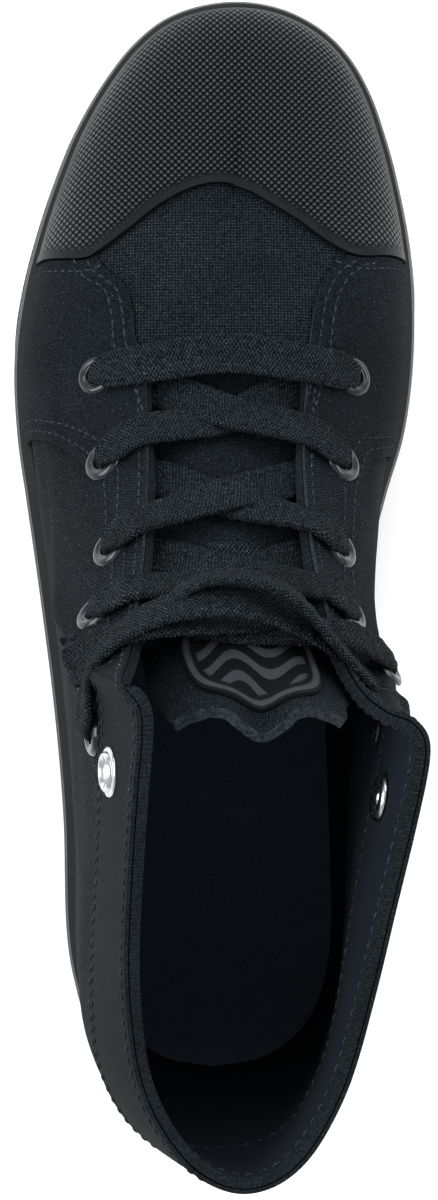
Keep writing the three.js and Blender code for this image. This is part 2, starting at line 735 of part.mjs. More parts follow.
function eyestay(seamRows, collarRows, from, to) {
  const seam = seamRows.map(inSide);
  const band = bandLine(collarRows, -overlayGap);
  const far = capFarEnd * soleLength;
  const top = tallHeight * shaftHeight;
  const region = sidePrism([...seam, [seam.at(-1)[0], top], [far, top], [far, seam[0][1]]], from, to);
  const above = sidePrism([...band, [far, top], [band[0][0], top]], from, to);
  const cloth = shell(overlaySkin, clearance, clearance + overlayThickness);
  return cloth
    .intersect(region)
    .subtract(above)
    .subtract(capPrism(-overlayGap))
    .subtract(planPrism(vampOpeningRows.map(inPlan)));
}

// Tongue: rows along its middle line from under the vamp to its top edge. halfWidth is a share of ballWidth,
// drop says how far its sides fall and dent how far its top folds back, both as shares of halfWidth.
const tongueRows = [
  { station: 0, across: 0.022, along: 0.739, height: 0.352, halfWidth: 0.165, drop: 0.16, dent: 0 },
  { station: 0.1, across: 0.021, along: 0.694, height: 0.374, halfWidth: 0.19, drop: 0.2, dent: 0 },
  { station: 0.2, across: 0.019, along: 0.651, height: 0.392, halfWidth: 0.2, drop: 0.26, dent: 0 },
  { station: 0.3, across: 0.017, along: 0.613, height: 0.432, halfWidth: 0.2, drop: 0.3, dent: 0 },
  { station: 0.42, across: 0.016, along: 0.563, height: 0.501, halfWidth: 0.2, drop: 0.3, dent: 0 },
  { station: 0.56, across: 0.016, along: 0.5095, height: 0.584, halfWidth: 0.205, drop: 0.3, dent: 0 },
  { station: 0.7, across: 0.021, along: 0.4615, height: 0.672, halfWidth: 0.21, drop: 0.3, dent: 0 },
  { station: 0.82, across: 0.036, along: 0.429, height: 0.766, halfWidth: 0.205, drop: 0.3, dent: 0 },
  { station: 0.92, across: 0.052, along: 0.408, height: 0.858, halfWidth: 0.2, drop: 0.32, dent: 0.12 },
  { station: 1, across: 0.062, along: 0.389, height: 0.953, halfWidth: 0.215, drop: 0.34, dent: 0.3 },
];
const tongueSteps = 10;
const tongueAcrossSteps = 8;
const dentPlace = 0.03; // share of the half width, towards the inner side
const dentSpread = 0.24;

function tongueMiddle(station) {
  return new THREE.Vector3(
    ballWidth * readTable(tongueRows, "across", station),
    soleLength * readTable(tongueRows, "along", station),
    shaftHeight * readTable(tongueRows, "height", station),
  );
}

// A point of the tongue's front face; side runs from -1 at its outer edge to 1 at its inner edge.
function tonguePoint(station, side) {
  const step = 0.01;
  const middle = tongueMiddle(station);
  const ahead = tongueMiddle(station + step).sub(tongueMiddle(station - step)).normalize();
  const outward = ahead.clone().cross(new THREE.Vector3(1, 0, 0)).normalize();
  const halfWidth = ballWidth * readTable(tongueRows, "halfWidth", station);
  const drop = readTable(tongueRows, "drop", station) * side * side;
  const fold = Math.exp(-(((side - dentPlace) / dentSpread) ** 2));
  const dent = readTable(tongueRows, "dent", station) * fold;
  return middle
    .add(new THREE.Vector3(side * halfWidth, 0, 0))
    .addScaledVector(outward, -halfWidth * (drop + dent));
}

function tongueNormal(station, side) {
  const step = 0.01;
  const along = tonguePoint(station + step, side).sub(tonguePoint(station - step, side));
  const across = tonguePoint(station, side + step).sub(tonguePoint(station, side - step));
  return along.cross(across).normalize();
}

function tongueGrid() {
  const grid = [];
  for (let column = 0; column <= tongueAcrossSteps; column += 1) {
    const side = 1 - (2 * column) / tongueAcrossSteps;
    const rows = Array.from({ length: tongueSteps + 1 }, (_, row) => tonguePoint(row / tongueSteps, side));
    grid.push(rows);
  }
  return grid;
}
const tongueSkin = makeSkin(tongueGrid(), false);

// Badge and lace keeper on the tongue, cut by plan outlines.
const badgeMiddle = { across: 0.055, along: 0.413 };
const badgeSize = { across: 0.29, along: 0.062 };
function badge() {
  const outline = [];
  const corners = 24;
  for (let corner = 0; corner < corners; corner += 1) {
    const angle = (2 * Math.PI * corner) / corners;
    const across = Math.sign(Math.cos(angle)) * Math.abs(Math.cos(angle)) ** 0.6;
    const along = Math.sign(Math.sin(angle)) * Math.abs(Math.sin(angle)) ** 0.6;
    outline.push([
      ballWidth * (badgeMiddle.across + (badgeSize.across * across) / 2),
      soleLength * (badgeMiddle.along + (badgeSize.along * along) / 2),
    ]);
  }
  return shell(tongueSkin, clearance, clearance + badgeThickness).intersect(planPrism(outline));
}

const keeperRows = [
  { across: -0.03, along: 0.483 },
  { across: 0.08, along: 0.483 },
  { across: 0.08, along: 0.505 },
  { across: -0.03, along: 0.505 },
];
function laceKeeper() {
  return shell(tongueSkin, -1, badgeThickness).intersect(planPrism(keeperRows.map(inPlan)));
}

// A disc lies on the mean direction of the cloth over this share of a rib or of the stations.
const discSpan = 0.02;

// Places on the upper, found from how far along and how high they lie on one side (-1 outer, 1 inner).
function placeAt(side, along, height) {
  let low = 0.25;
  let high = throatStation;
  for (let turn = 0; turn < 24; turn += 1) {
    const middle = (low + high) / 2;
    const share = ribShareAt(side * middle, height);
    if (surfacePoint(side * middle, share).y < along) low = middle;
    else high = middle;
  }
  const station = (side * (low + high)) / 2;
  const share = ribShareAt(station, height);
  return { point: surfacePoint(station, share), normal: surfaceNormal(station, share, discSpan) };
}

// Eyelets from the toe up, and the press studs of the two flaps.
const eyeletRows = [
  { along: 0.656, outerHeight: 0.36, innerHeight: 0.355 },
  { along: 0.5785, outerHeight: 0.442, innerHeight: 0.438 },
  { along: 0.504, outerHeight: 0.555, innerHeight: 0.545 },
  { along: 0.451, outerHeight: 0.635, innerHeight: 0.62 },
  { along: 0.408, outerHeight: 0.705, innerHeight: 0.68 },
  { along: 0.362, outerHeight: 0.75, innerHeight: 0.72 },
];
const studRows = { outer: { along: 0.337, height: 0.847 }, inner: { along: 0.315, height: 0.82 } };

const eyeletPlaces = { outer: [], inner: [] };
for (const row of eyeletRows) {
  const along = row.along * soleLength;
  eyeletPlaces.outer.push(placeAt(-1, along, row.outerHeight * shaftHeight));
  eyeletPlaces.inner.push(placeAt(1, along, row.innerHeight * shaftHeight));
}
const studPlaces = {
  outer: placeAt(-1, ...inSide(studRows.outer)),
  inner: placeAt(1, ...inSide(studRows.inner)),
};

const eyeletBarrelRadius = eyeletHoleRadius + eyeletBarrelWall;
const discSeat = 4 * clearance + overlayThickness + 0.3; // height of a disc's underside over the upper
function eyelet({ point, normal }) {
  const profile = [
    [eyeletHoleRadius, -upperWall - clearance],
    [eyeletBarrelRadius, -upperWall - clearance],
    [eyeletBarrelRadius, discSeat],
    [eyeletFlangeRadius, discSeat],
    [eyeletHoleRadius, discSeat + eyeletFlangeThickness],
  ];
  return turned(profile, 10, point, normal);
}

function pressStud({ point, normal }) {
  const innerSeat = -upperWall - clearance - 0.2;
  const profile = [
    [0, innerSeat - studThickness],
    [studRadius - 0.6, innerSeat - studThickness],
    [studRadius, innerSeat],
    [studPostRadius, innerSeat],
    [studPostRadius, discSeat],
    [studRadius, discSeat],
    [studRadius - 0.6, discSeat + studThickness],
    [0, discSeat + studThickness],
  ];
  return turned(profile, 12, point, normal);
}

function withHoles(solid, places, radius) {
  return places.reduce((body, { point, normal }) => body.subtract(drill(radius, point, normal)), solid);
}

// Lace: flat bands through points, each with the direction that its face looks to.
function ribbon(places, steps = 9) {
  const path = new THREE.CatmullRomCurve3(places.map(({ point }) => point), false, "centripetal");
  const last = places.length - 1;
  const rings = [];
  for (let step = 0; step <= steps; step += 1) {
    const share = step / steps;
    const index = Math.min(last - 1, Math.floor(share * last));
    const normal = places[index].normal.clone().lerp(places[index + 1].normal, share * last - index);
    const along = path.getTangent(share);
    const across = along.clone().cross(normal).normalize();
    const face = across.clone().cross(along).normalize();
    const middle = path.getPoint(share);
    const corner = (sideways, upward) =>
      middle
        .clone()
        .addScaledVector(across, (sideways * laceWidth) / 2)
        .addScaledVector(face, (upward * laceThickness) / 2);
    rings.push([corner(-1, -1), corner(1, -1), corner(1, 1), corner(-1, 1)]);
  }
  const faces = [
    [0, 1, 2],
    [0, 2, 3],
  ];
  for (let ring = 0; ring < steps; ring += 1) {
    for (let side = 0; side < 4; side += 1) {
      const other = (side + 1) % 4;
      const here = ring * 4;
      faces.push([here + side, here + 4 + other, here + other]);
      faces.push([here + side, here + 4 + side, here + 4 + other]);
    }
  }
  const end = steps * 4;
  faces.push([end, end + 2, end + 1]);
  faces.push([end, end + 3, end + 2]);
  return solidFromFaces(rings.flat(), faces);
}

function offPlace({ point, normal }, distance) {
  return { point: point.clone().addScaledVector(normal, distance), normal };
}

const onTongue = (station, side, distance) =>
  offPlace({ point: tonguePoint(station, side), normal: tongueNormal(station, side) }, distance);

// The place on the throat's edge of one side at a distance along the shoe.
function edgePlace(side, along, distance) {
  let low = 0.515;
  let high = 0.72;
  for (let turn = 0; turn < 24; turn += 1) {
    const middle = (low + high) / 2;
    if (surfacePoint(side * middle, 1).y < along) low = middle;
    else high = middle;
  }
  const station = (side * (low + high)) / 2;
  return offPlace({ point: surfacePoint(station, 0.985), normal: surfaceNormal(station, 0.985) }, distance);
}

const laceOnTongue = 2 * clearance + badgeThickness + laceThickness;
const laceOnFacing = 3 * clearance + overlayThickness + laceThickness;
const laceOnEyelet = discSeat + eyeletFlangeThickness + clearance + laceThickness / 2;

// Crossings from the second pair of eyelets up. start and middle are stations of the tongue, and edge is where
// a band passes the throat's edge on the way to its eyelet.
const crossingRows = [
  { start: 0.215, middle: 0.3, edge: 0.6 },
  { start: 0.41, middle: 0.48, edge: 0.522 },
  { start: 0.58, middle: 0.66, edge: 0.468 },
  { start: 0.72, middle: 0.8, edge: 0.433 },
];
const crossingLift = laceThickness - 0.25;
const startSide = 0.72;

function crossingBand(row, index, side, lift) {
  const eyeletPlace = (side < 0 ? eyeletPlaces.outer : eyeletPlaces.inner)[index + 1];
  return ribbon([
    onTongue(row.start, -side * startSide, laceOnTongue),
    onTongue(row.middle, 0, laceOnTongue + clearance + lift),
    edgePlace(side, row.edge * soleLength, laceOnFacing),
    offPlace(eyeletPlace, laceOnEyelet),
  ]);
}

function crossing(index) {
  const topSide = index % 2 === 0 ? 1 : -1;
  const row = crossingRows[index];
  const below = crossingBand(row, index, -topSide, 0);
  return below.add(crossingBand(row, index, topSide, crossingLift));
}

function laceBar() {
  const [outer] = eyeletPlaces.outer;
  const [inner] = eyeletPlaces.inner;
  const along = 0.662 * soleLength;
  const overThroat = new THREE.Vector3(0, -laceWidth / 2, laceOnFacing + clearance);
  return ribbon([
    offPlace(outer, laceOnEyelet),
    edgePlace(-1, along, laceOnFacing + clearance),
    { point: surfacePoint(throatStation, 1).add(overThroat), normal: up.clone() },
    edgePlace(1, along, laceOnFacing + clearance),
    offPlace(inner, laceOnEyelet),
  ]);
}

// The slack top pair arches in front of the tongue. Points in shares of ballWidth, soleLength and shaftHeight,
// and the direction that the band's face looks to.
const outerArchRows = [
  { across: 0.245, along: 0.419, height: 0.735, face: [0.6, 0.6, 0.5] },
  { across: 0.215, along: 0.432, height: 0.77, face: [0.5, 0.7, 0.5] },
  { across: 0.144, along: 0.449, height: 0.79, face: [0.3, 0.75, 0.6] },
  { across: 0.012, along: 0.4625, height: 0.81, face: [0, 0.8, 0.6] },
  { across: -0.148, along: 0.453, height: 0.81, face: [-0.45, 0.75, 0.5] },
  { across: -0.27, along: 0.418, height: 0.79, face: [-0.85, 0.5, 0.2] },
];
const innerArchRows = [
  { across: -0.2, along: 0.425, height: 0.73, face: [-0.6, 0.7, 0.3] },
  { across: -0.15, along: 0.445, height: 0.765, face: [-0.5, 0.8, 0.3] },
  { across: -0.068, along: 0.475, height: 0.785, face: [-0.2, 0.95, 0.25] },
  { across: 0.032, along: 0.481, height: 0.805, face: [0, 1, 0.2] },
  { across: 0.14, along: 0.47, height: 0.815, face: [0.3, 0.95, 0.2] },
  { across: 0.25, along: 0.437, height: 0.8, face: [0.75, 0.65, 0.1] },
  { across: 0.36, along: 0.4, height: 0.76, face: [0.95, 0.3, 0] },
];

function archBand(rows, end) {
  const places = rows.map(({ across, along, height, face }) => ({
    point: new THREE.Vector3(across * ballWidth, along * soleLength, height * shaftHeight),
    normal: new THREE.Vector3(...face).normalize(),
  }));
  return ribbon([...places, offPlace(end, laceOnEyelet + laceThickness / 2)], 12);
}

function laceArch() {
  const outer = archBand(outerArchRows, eyeletPlaces.outer.at(-1));
  const inner = archBand(innerArchRows, eyeletPlaces.inner.at(-1));
  return outer.add(inner);
}

// What the lace keeps clear of: the facings with their cloth, the tongue with its badge, and the eyelets.
function laceRoom() {
  const cloth = shell(overlaySkin, -upperWall - clearance, 3 * clearance + overlayThickness);
  const besideOuter = cloth.translate([clearance, 0, 0]);
  const besideInner = cloth.translate([-clearance, 0, 0]);
  const onTongueFace = shell(tongueSkin, -tongueThickness, 2 * clearance + badgeThickness);
  const discs = eyeletHoles.map(({ point, normal }) =>
    turned(
      [
        [0, 0],
        [eyeletFlangeRadius + clearance, 0],
        [eyeletFlangeRadius + clearance, discSeat + eyeletFlangeThickness],
        [0, discSeat + eyeletFlangeThickness + clearance],
      ],
      10,
      point,
      normal,
    ),
  );
  return joined([cloth, besideOuter, besideInner, onTongueFace, ...discs]);
}

const root = new THREE.Group();
root.name = "high_top_sneaker";
root.add(meshes);

const eyeletHoles = [...eyeletPlaces.outer, ...eyeletPlaces.inner];
const holeRadius = eyeletBarrelRadius + clearance;
const studHoleRadius = studPostRadius + clearance;
const studs = [studPlaces.outer, studPlaces.inner];

addMesh("outsole", outsole(), rubber);
addMesh("foxing", foxing(), rubber);
addMesh("toe_bumper", toeBumper(), rubber);
addMesh("insole", insole(), lining);
const bareUpper = shell(upperSkin, -upperWall, 0);
addMesh("upper", withHoles(withHoles(bareUpper, eyeletHoles, holeRadius), studs, studHoleRadius), canvas);
addMesh("toe_cap", toeCap(), capRubber);
addMesh("collar_band", withHoles(collarBand(), studs, studHoleRadius), lining);
const middleAcross = surfacePoint(throatStation, 1).x;
const outerFacing = eyestay(outerSeamRows, outerCollarRows, -wideAcross, middleAcross);
const innerFacing = eyestay(innerSeamRows, innerCollarRows, middleAcross, wideAcross);
addMesh("eyestay_lateral", withHoles(outerFacing, eyeletPlaces.outer, holeRadius), facing);
addMesh("eyestay_medial", withHoles(innerFacing, eyeletPlaces.inner, holeRadius), facing);
addMesh("tongue", shell(tongueSkin, -tongueThickness, 0).add(laceKeeper()), canvas);
addMesh("tongue_badge", badge(), badgeCloth);
eyeletPlaces.outer.forEach((place, index) => addMesh(`eyelet_lateral_${index + 1}`, eyelet(place), blackMetal));
eyeletPlaces.inner.forEach((place, index) => addMesh(`eyelet_medial_${index + 1}`, eyelet(place), blackMetal));
addMesh("stud_lateral", pressStud(studPlaces.outer), silver);
addMesh("stud_medial", pressStud(studPlaces.inner), silver);
const room = laceRoom();
addMesh("lace_bar", laceBar().subtract(room), webbing);
for (const index of [0, 1, 2]) addMesh(`lace_crossing_${index + 2}`, crossing(index).subtract(room), webbing);
addMesh("lace_arch", crossing(3).add(laceArch()).subtract(room), webbing);

const box = new THREE.Box3().setFromObject(meshes);
meshes.position.set(-(box.min.x + box.max.x) / 2, -(box.min.y + box.max.y) / 2, -box.min.z);

export default root;
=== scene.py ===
"""The looks of a canvas high top sneaker, left shoe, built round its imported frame.

Shapes are worked out in millimetres from the heel (+Y to the toe, +X to the inner side, +Z up) and are moved
into the frame, in metres, when a mesh is made.
"""

from __future__ import annotations

import logging
import math
from dataclasses import dataclass, field
from enum import Enum
from typing import Callable, Sequence

import bpy
import numpy as np
from mathutils import Matrix

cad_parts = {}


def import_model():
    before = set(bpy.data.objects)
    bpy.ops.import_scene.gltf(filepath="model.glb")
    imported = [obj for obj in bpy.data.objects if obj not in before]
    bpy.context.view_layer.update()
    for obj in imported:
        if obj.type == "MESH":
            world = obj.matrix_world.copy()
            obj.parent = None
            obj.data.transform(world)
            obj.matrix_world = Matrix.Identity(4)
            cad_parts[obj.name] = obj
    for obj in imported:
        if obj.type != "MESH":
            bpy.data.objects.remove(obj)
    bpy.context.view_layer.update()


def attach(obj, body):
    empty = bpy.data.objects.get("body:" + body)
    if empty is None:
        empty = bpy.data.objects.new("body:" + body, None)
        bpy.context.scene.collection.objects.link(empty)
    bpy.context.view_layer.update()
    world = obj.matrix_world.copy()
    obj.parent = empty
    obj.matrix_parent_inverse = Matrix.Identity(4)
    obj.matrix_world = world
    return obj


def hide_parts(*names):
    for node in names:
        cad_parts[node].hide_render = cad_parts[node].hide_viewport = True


Array = np.ndarray
Colour = tuple[float, float, float]
Material = bpy.types.Material
Measure = Callable[[Array], Array]
Socket = bpy.types.NodeSocket
LOG = logging.getLogger("sneaker")
FRAME_SHIFT = np.array([0.085064, -130.949164, 0.0])  # from the heel's origin to the frame's, in millimetres
MILLIMETRE = 0.001
SOFT_CREASE = 60.0  # cloth edges that bend less than this, in degrees, are shaded smooth
FAR = 50.0  # a distance in millimetres that stands for well away


class Side(Enum):
    """The two sides of the shoe."""

    OUTER = -1
    INNER = 1

    @property
    def word(self) -> str:
        """Return the side's word in the names of the frame's nodes."""
        return "lateral" if self is Side.OUTER else "medial"

    @property
    def other(self) -> Side:
        """Return the side across."""
        return Side(-self.value)


# Number tables and grids


def smoothstep(low: float, high: float, value: Array) -> Array:
    """Return 0 below low, 1 above high and a smooth ramp 3s^2 - 2s^3 between."""
    share = np.clip((value - low) / (high - low), 0.0, 1.0)
    return share * share * (3.0 - 2.0 * share)


def unit(vectors: Array) -> Array:
    """Return the vectors at length one."""
    lengths = np.linalg.norm(vectors, axis=-1, keepdims=True)
    return vectors / np.maximum(lengths, 1e-12)


def signed_power(value: Array, power: float) -> Array:
    """Return |v|^power with the sign of v."""
    return np.sign(value) * np.abs(value) ** power


def travel_along(points: Array) -> Array:
    """Return how far each point of a line lies from its start, measured along it."""
    return np.concatenate([[0.0], np.cumsum(np.linalg.norm(np.diff(points, axis=0), axis=1))])


def full_turn(count: int) -> Array:
    """Return even angles round a circle."""
    return np.linspace(0, 2 * np.pi, count, endpoint=False)


def even_steps(low: float, high: float, step: float) -> Array:
    """Return even places from low to high, about a step apart."""
    return np.linspace(low, high, round((high - low) / step) + 1)


def halved(low: Array | float, high: Array | float, below: Measure, times: int = 24) -> Array:
    """Find by halving where a test stops holding.

    Args:
        low: places where the test holds.
        high: places where it doesn't.
        below: the test, at places between.
        times: how often the span is halved.

    Returns:
        The places of the change.
    """
    for _ in range(times):
        middle = (low + high) / 2
        holds = below(middle)
        low, high = np.where(holds, middle, low), np.where(holds, high, middle)
    return (low + high) / 2


def within_turn(station: Array) -> Array:
    """Return stations brought back between -1 and 1."""
    return np.mod(station + 1.0, 2.0) - 1.0


class SmoothTable:
    """A curve through table rows: cubic Hermite pieces whose slopes come from each row's two neighbours."""

    def __init__(self, rows: Sequence[Sequence[float]], period: float = 0.0) -> None:
        """Keep the rows, repeated once before and after where the table is closed.

        Args:
            rows: one row for each place, with the place first.
            period: the length of one turn of a closed table, or 0.
        """
        table = np.asarray(rows, dtype=float)
        if period:
            turn = np.zeros(table.shape[1])
            turn[0] = period
            table = np.vstack([table - turn, table, table + turn])
        self.places = table[:, 0]
        self.values = table[:, 1:]
        below = np.maximum(np.arange(len(table)) - 1, 0)
        above = np.minimum(np.arange(len(table)) + 1, len(table) - 1)
        width = (self.places[above] - self.places[below])[:, None]
        self.slopes = (self.values[above] - self.values[below]) / width

    def read(self, asked: Array) -> Array:
        """Read every column at the places asked.

        Args:
            asked: places, of any shape, held to the table's ends.

        Returns:
            The values, with the columns as the last axis.
        """
        place = np.clip(np.asarray(asked, dtype=float), self.places[0], self.places[-1])
        index = np.clip(np.searchsorted(self.places, place, side="right") - 1, 0, len(self.places) - 2)
        width = self.places[index + 1] - self.places[index]
        share = ((place - self.places[index]) / width)[..., None]
        width = width[..., None]
        square = share * share
        cube = square * share
        return (
            (2 * cube - 3 * square + 1) * self.values[index]
            + (cube - 2 * square + share) * width * self.slopes[index]
            + (3 * square - 2 * cube) * self.values[index + 1]
            + (cube - square) * width * self.slopes[index + 1]
        )

    def column(self, asked: Array) -> Array:
        """Read the first column at the places asked."""
        return self.read(asked)[..., 0]


# The form of the shoe


@dataclass(frozen=True)
class ShoeSizes:
    """Driving sizes of the shoe, in millimetres."""

    sole_length: float = 261.0
    ball_width: float = 97.0
    shaft_height: float = 137.0
    toe_spring: float = 8.0
    arch_lift: float = 1.0
    clearance: float = 0.3
    upper_wall: float = 2.0
    outsole_thickness: float = 6.0
    insole_thickness: float = 4.5
    foxing_height: float = 25.0
    foxing_wall: float = 2.4
    tuck: float = 0.16
    wall_share: float = 0.16
    throat_station: float = 0.77
    band_height: float = 27.0
    overlay_thickness: float = 0.8
    overlay_gap: float = 0.35
    ridge_radius: float = 9.0
    ridge_ramp: float = 0.06
    ridge_span: tuple[float, float] = (0.3, 0.7)
    turn_start: float = 0.55
    tuck_span: tuple[float, float] = (0.58, 0.7)
    spring_start: float = 0.715
    spring_power: float = 1.8
    arch_start: float = 0.3
    arch_length: float = 0.25

    @property
    def scale(self) -> Array:
        """Return the sizes that the tables' shares across, along and up are taken of."""
        return np.array([self.ball_width, self.sole_length, self.shaft_height])


# Outline of the sole: station from -1 at the toe, down the outer side, to 0 at the heel and up the inner side
# to 1; across is a share of the ball's width and along a share of the sole's length.
OUTLINE_ROWS = (
    (-0.975, -0.035, 0.9965), (-0.95, -0.127, 0.984), (-0.925, -0.204, 0.961), (-0.9, -0.265, 0.933),
    (-0.875, -0.316, 0.903), (-0.85, -0.359, 0.871), (-0.8, -0.423, 0.807), (-0.75, -0.47, 0.741),
    (-0.7, -0.491, 0.677), (-0.65, -0.484, 0.613), (-0.6, -0.463, 0.556), (-0.5, -0.426, 0.46),
    (-0.4, -0.394, 0.364), (-0.3, -0.371, 0.261), (-0.2, -0.364, 0.161), (-0.15, -0.346, 0.113),
    (-0.1, -0.302, 0.063), (-0.06, -0.222, 0.0275), (-0.03, -0.124, 0.0075), (0.0, 0.0, 0.0),
    (0.03, 0.124, 0.0075), (0.06, 0.22, 0.0275), (0.1, 0.297, 0.063), (0.15, 0.338, 0.113),
    (0.2, 0.349, 0.161), (0.3, 0.342, 0.261), (0.4, 0.334, 0.364), (0.5, 0.351, 0.46),
    (0.6, 0.418, 0.559), (0.65, 0.462, 0.615), (0.7, 0.484, 0.677), (0.75, 0.486, 0.741),
    (0.8, 0.47, 0.797), (0.85, 0.436, 0.855), (0.875, 0.41, 0.887), (0.9, 0.375, 0.921),
    (0.925, 0.325, 0.952), (0.95, 0.258, 0.976), (0.975, 0.168, 0.993), (1.0, 0.067, 1.0),
)

# Edge of the upper above each station: across, along, height, lean at the edge in degrees, and then the rise,
# the reach and the flare of the curve up to it.
EDGE_ROWS = (
    (-0.77, 0.022, 0.69, 0.416, 6, 0.62, 0.5, 0.1), (-0.755, -0.046, 0.688, 0.413, 9, 0.6, 0.5, 0.1),
    (-0.735, -0.119, 0.679, 0.41, 18, 0.55, 0.45, 0.1), (-0.71, -0.161, 0.655, 0.404, 30, 0.5, 0.4, 0.1),
    (-0.68, -0.162, 0.617, 0.449, 38, 0.45, 0.4, 0.1), (-0.64, -0.159, 0.563, 0.526, 46, 0.42, 0.38, 0.08),
    (-0.6, -0.165, 0.506, 0.623, 56, 0.4, 0.36, 0.05), (-0.57, -0.177, 0.458, 0.726, 63, 0.4, 0.35, 0.03),
    (-0.545, -0.192, 0.423, 0.836, 68, 0.4, 0.33, 0), (-0.525, -0.206, 0.406, 0.931, 70, 0.4, 0.32, 0),
    (-0.51, -0.196, 0.402, 0.982, 72, 0.4, 0.32, 0), (-0.495, -0.171, 0.391, 1, 73, 0.4, 0.32, 0),
    (-0.475, -0.165, 0.372, 0.993, 74, 0.4, 0.32, 0), (-0.44, -0.173, 0.335, 0.971, 74, 0.4, 0.32, 0),
    (-0.36, -0.186, 0.264, 0.936, 73, 0.4, 0.32, 0), (-0.28, -0.193, 0.195, 0.907, 71, 0.4, 0.32, 0),
    (-0.2, -0.181, 0.134, 0.883, 67, 0.4, 0.32, 0.02), (-0.15, -0.158, 0.098, 0.871, 65, 0.4, 0.32, 0.04),
    (-0.1, -0.113, 0.065, 0.863, 68, 0.38, 0.34, 0.06), (-0.05, -0.054, 0.0405, 0.861, 78, 0.36, 0.36, 0.08),
    (0, 0.019, 0.0285, 0.861, 90, 0.34, 0.38, 0.08), (0.05, 0.088, 0.0325, 0.861, 92, 0.36, 0.36, 0.08),
    (0.1, 0.149, 0.05, 0.864, 92, 0.38, 0.34, 0.06), (0.15, 0.199, 0.079, 0.869, 93, 0.4, 0.32, 0.04),
    (0.2, 0.239, 0.115, 0.878, 94, 0.4, 0.32, 0.04), (0.28, 0.281, 0.176, 0.896, 97, 0.4, 0.32, 0.08),
    (0.36, 0.32, 0.243, 0.917, 100, 0.4, 0.32, 0.12), (0.44, 0.357, 0.3065, 0.9365, 102, 0.4, 0.3, 0.16),
    (0.475, 0.377, 0.347, 0.947, 103, 0.4, 0.3, 0.18), (0.495, 0.375, 0.366, 0.949, 102, 0.4, 0.3, 0.2),
    (0.51, 0.3505, 0.377, 0.938, 100, 0.4, 0.3, 0.2), (0.525, 0.3155, 0.3815, 0.909, 96, 0.4, 0.3, 0.2),
    (0.545, 0.268, 0.3965, 0.843, 88, 0.4, 0.3, 0.2), (0.57, 0.225, 0.433, 0.752, 76, 0.4, 0.32, 0.18),
    (0.6, 0.192, 0.49, 0.646, 62, 0.4, 0.34, 0.14), (0.64, 0.1815, 0.5555, 0.535, 50, 0.42, 0.38, 0.1),
    (0.68, 0.188, 0.613, 0.451, 40, 0.45, 0.4, 0.1), (0.71, 0.198, 0.655, 0.404, 32, 0.5, 0.4, 0.1),
    (0.735, 0.16, 0.68, 0.409, 18, 0.55, 0.45, 0.1), (0.755, 0.093, 0.6885, 0.414, 9, 0.6, 0.5, 0.1),
    (0.77, 0.022, 0.69, 0.416, 6, 0.62, 0.5, 0.1),
)

# Middle line of the vamp and the toe, with the same columns.
RIDGE_ROWS = (
    (0.77, 0.022, 0.69, 0.416, 6, 0.62, 0.5, 0.1), (0.8, 0.024, 0.716, 0.404, 7, 0.64, 0.5, 0.1),
    (0.85, 0.029, 0.762, 0.383, 8, 0.66, 0.5, 0.08), (0.9, 0.035, 0.799, 0.365, 9, 0.7, 0.5, 0.05),
    (0.95, 0.042, 0.831, 0.349, 11, 0.72, 0.52, 0.03), (1.0, 0.049, 0.86, 0.335, 13, 0.74, 0.54, 0),
)

# Soft creases of the cloth: station, rib share, half lengths in both, tilt between the two, depth outwards.
CREASE_ROWS = (
    (-0.46, 0.66, 0.075, 0.045, 0.35, -0.8), (-0.40, 0.52, 0.09, 0.05, 0.2, 0.7),
    (-0.33, 0.72, 0.1, 0.06, -0.25, -0.9), (-0.52, 0.5, 0.05, 0.05, 0.4, 0.6),
    (-0.2, 0.6, 0.08, 0.07, 0.1, 0.6), (-0.12, 0.42, 0.09, 0.05, -0.2, -0.6),
    (0.13, 0.5, 0.08, 0.05, 0.2, -0.6), (0.26, 0.62, 0.09, 0.05, -0.2, 0.8),
    (0.36, 0.48, 0.08, 0.045, 0.3, -0.8), (0.44, 0.66, 0.06, 0.05, 0.25, 0.7),
    (0.55, 0.45, 0.06, 0.05, -0.3, -0.5), (-0.6, 0.42, 0.06, 0.05, 0.3, -0.5),
    (0.66, 0.62, 0.05, 0.06, 0.0, -0.35), (-0.67, 0.6, 0.05, 0.06, 0.0, -0.35),
)


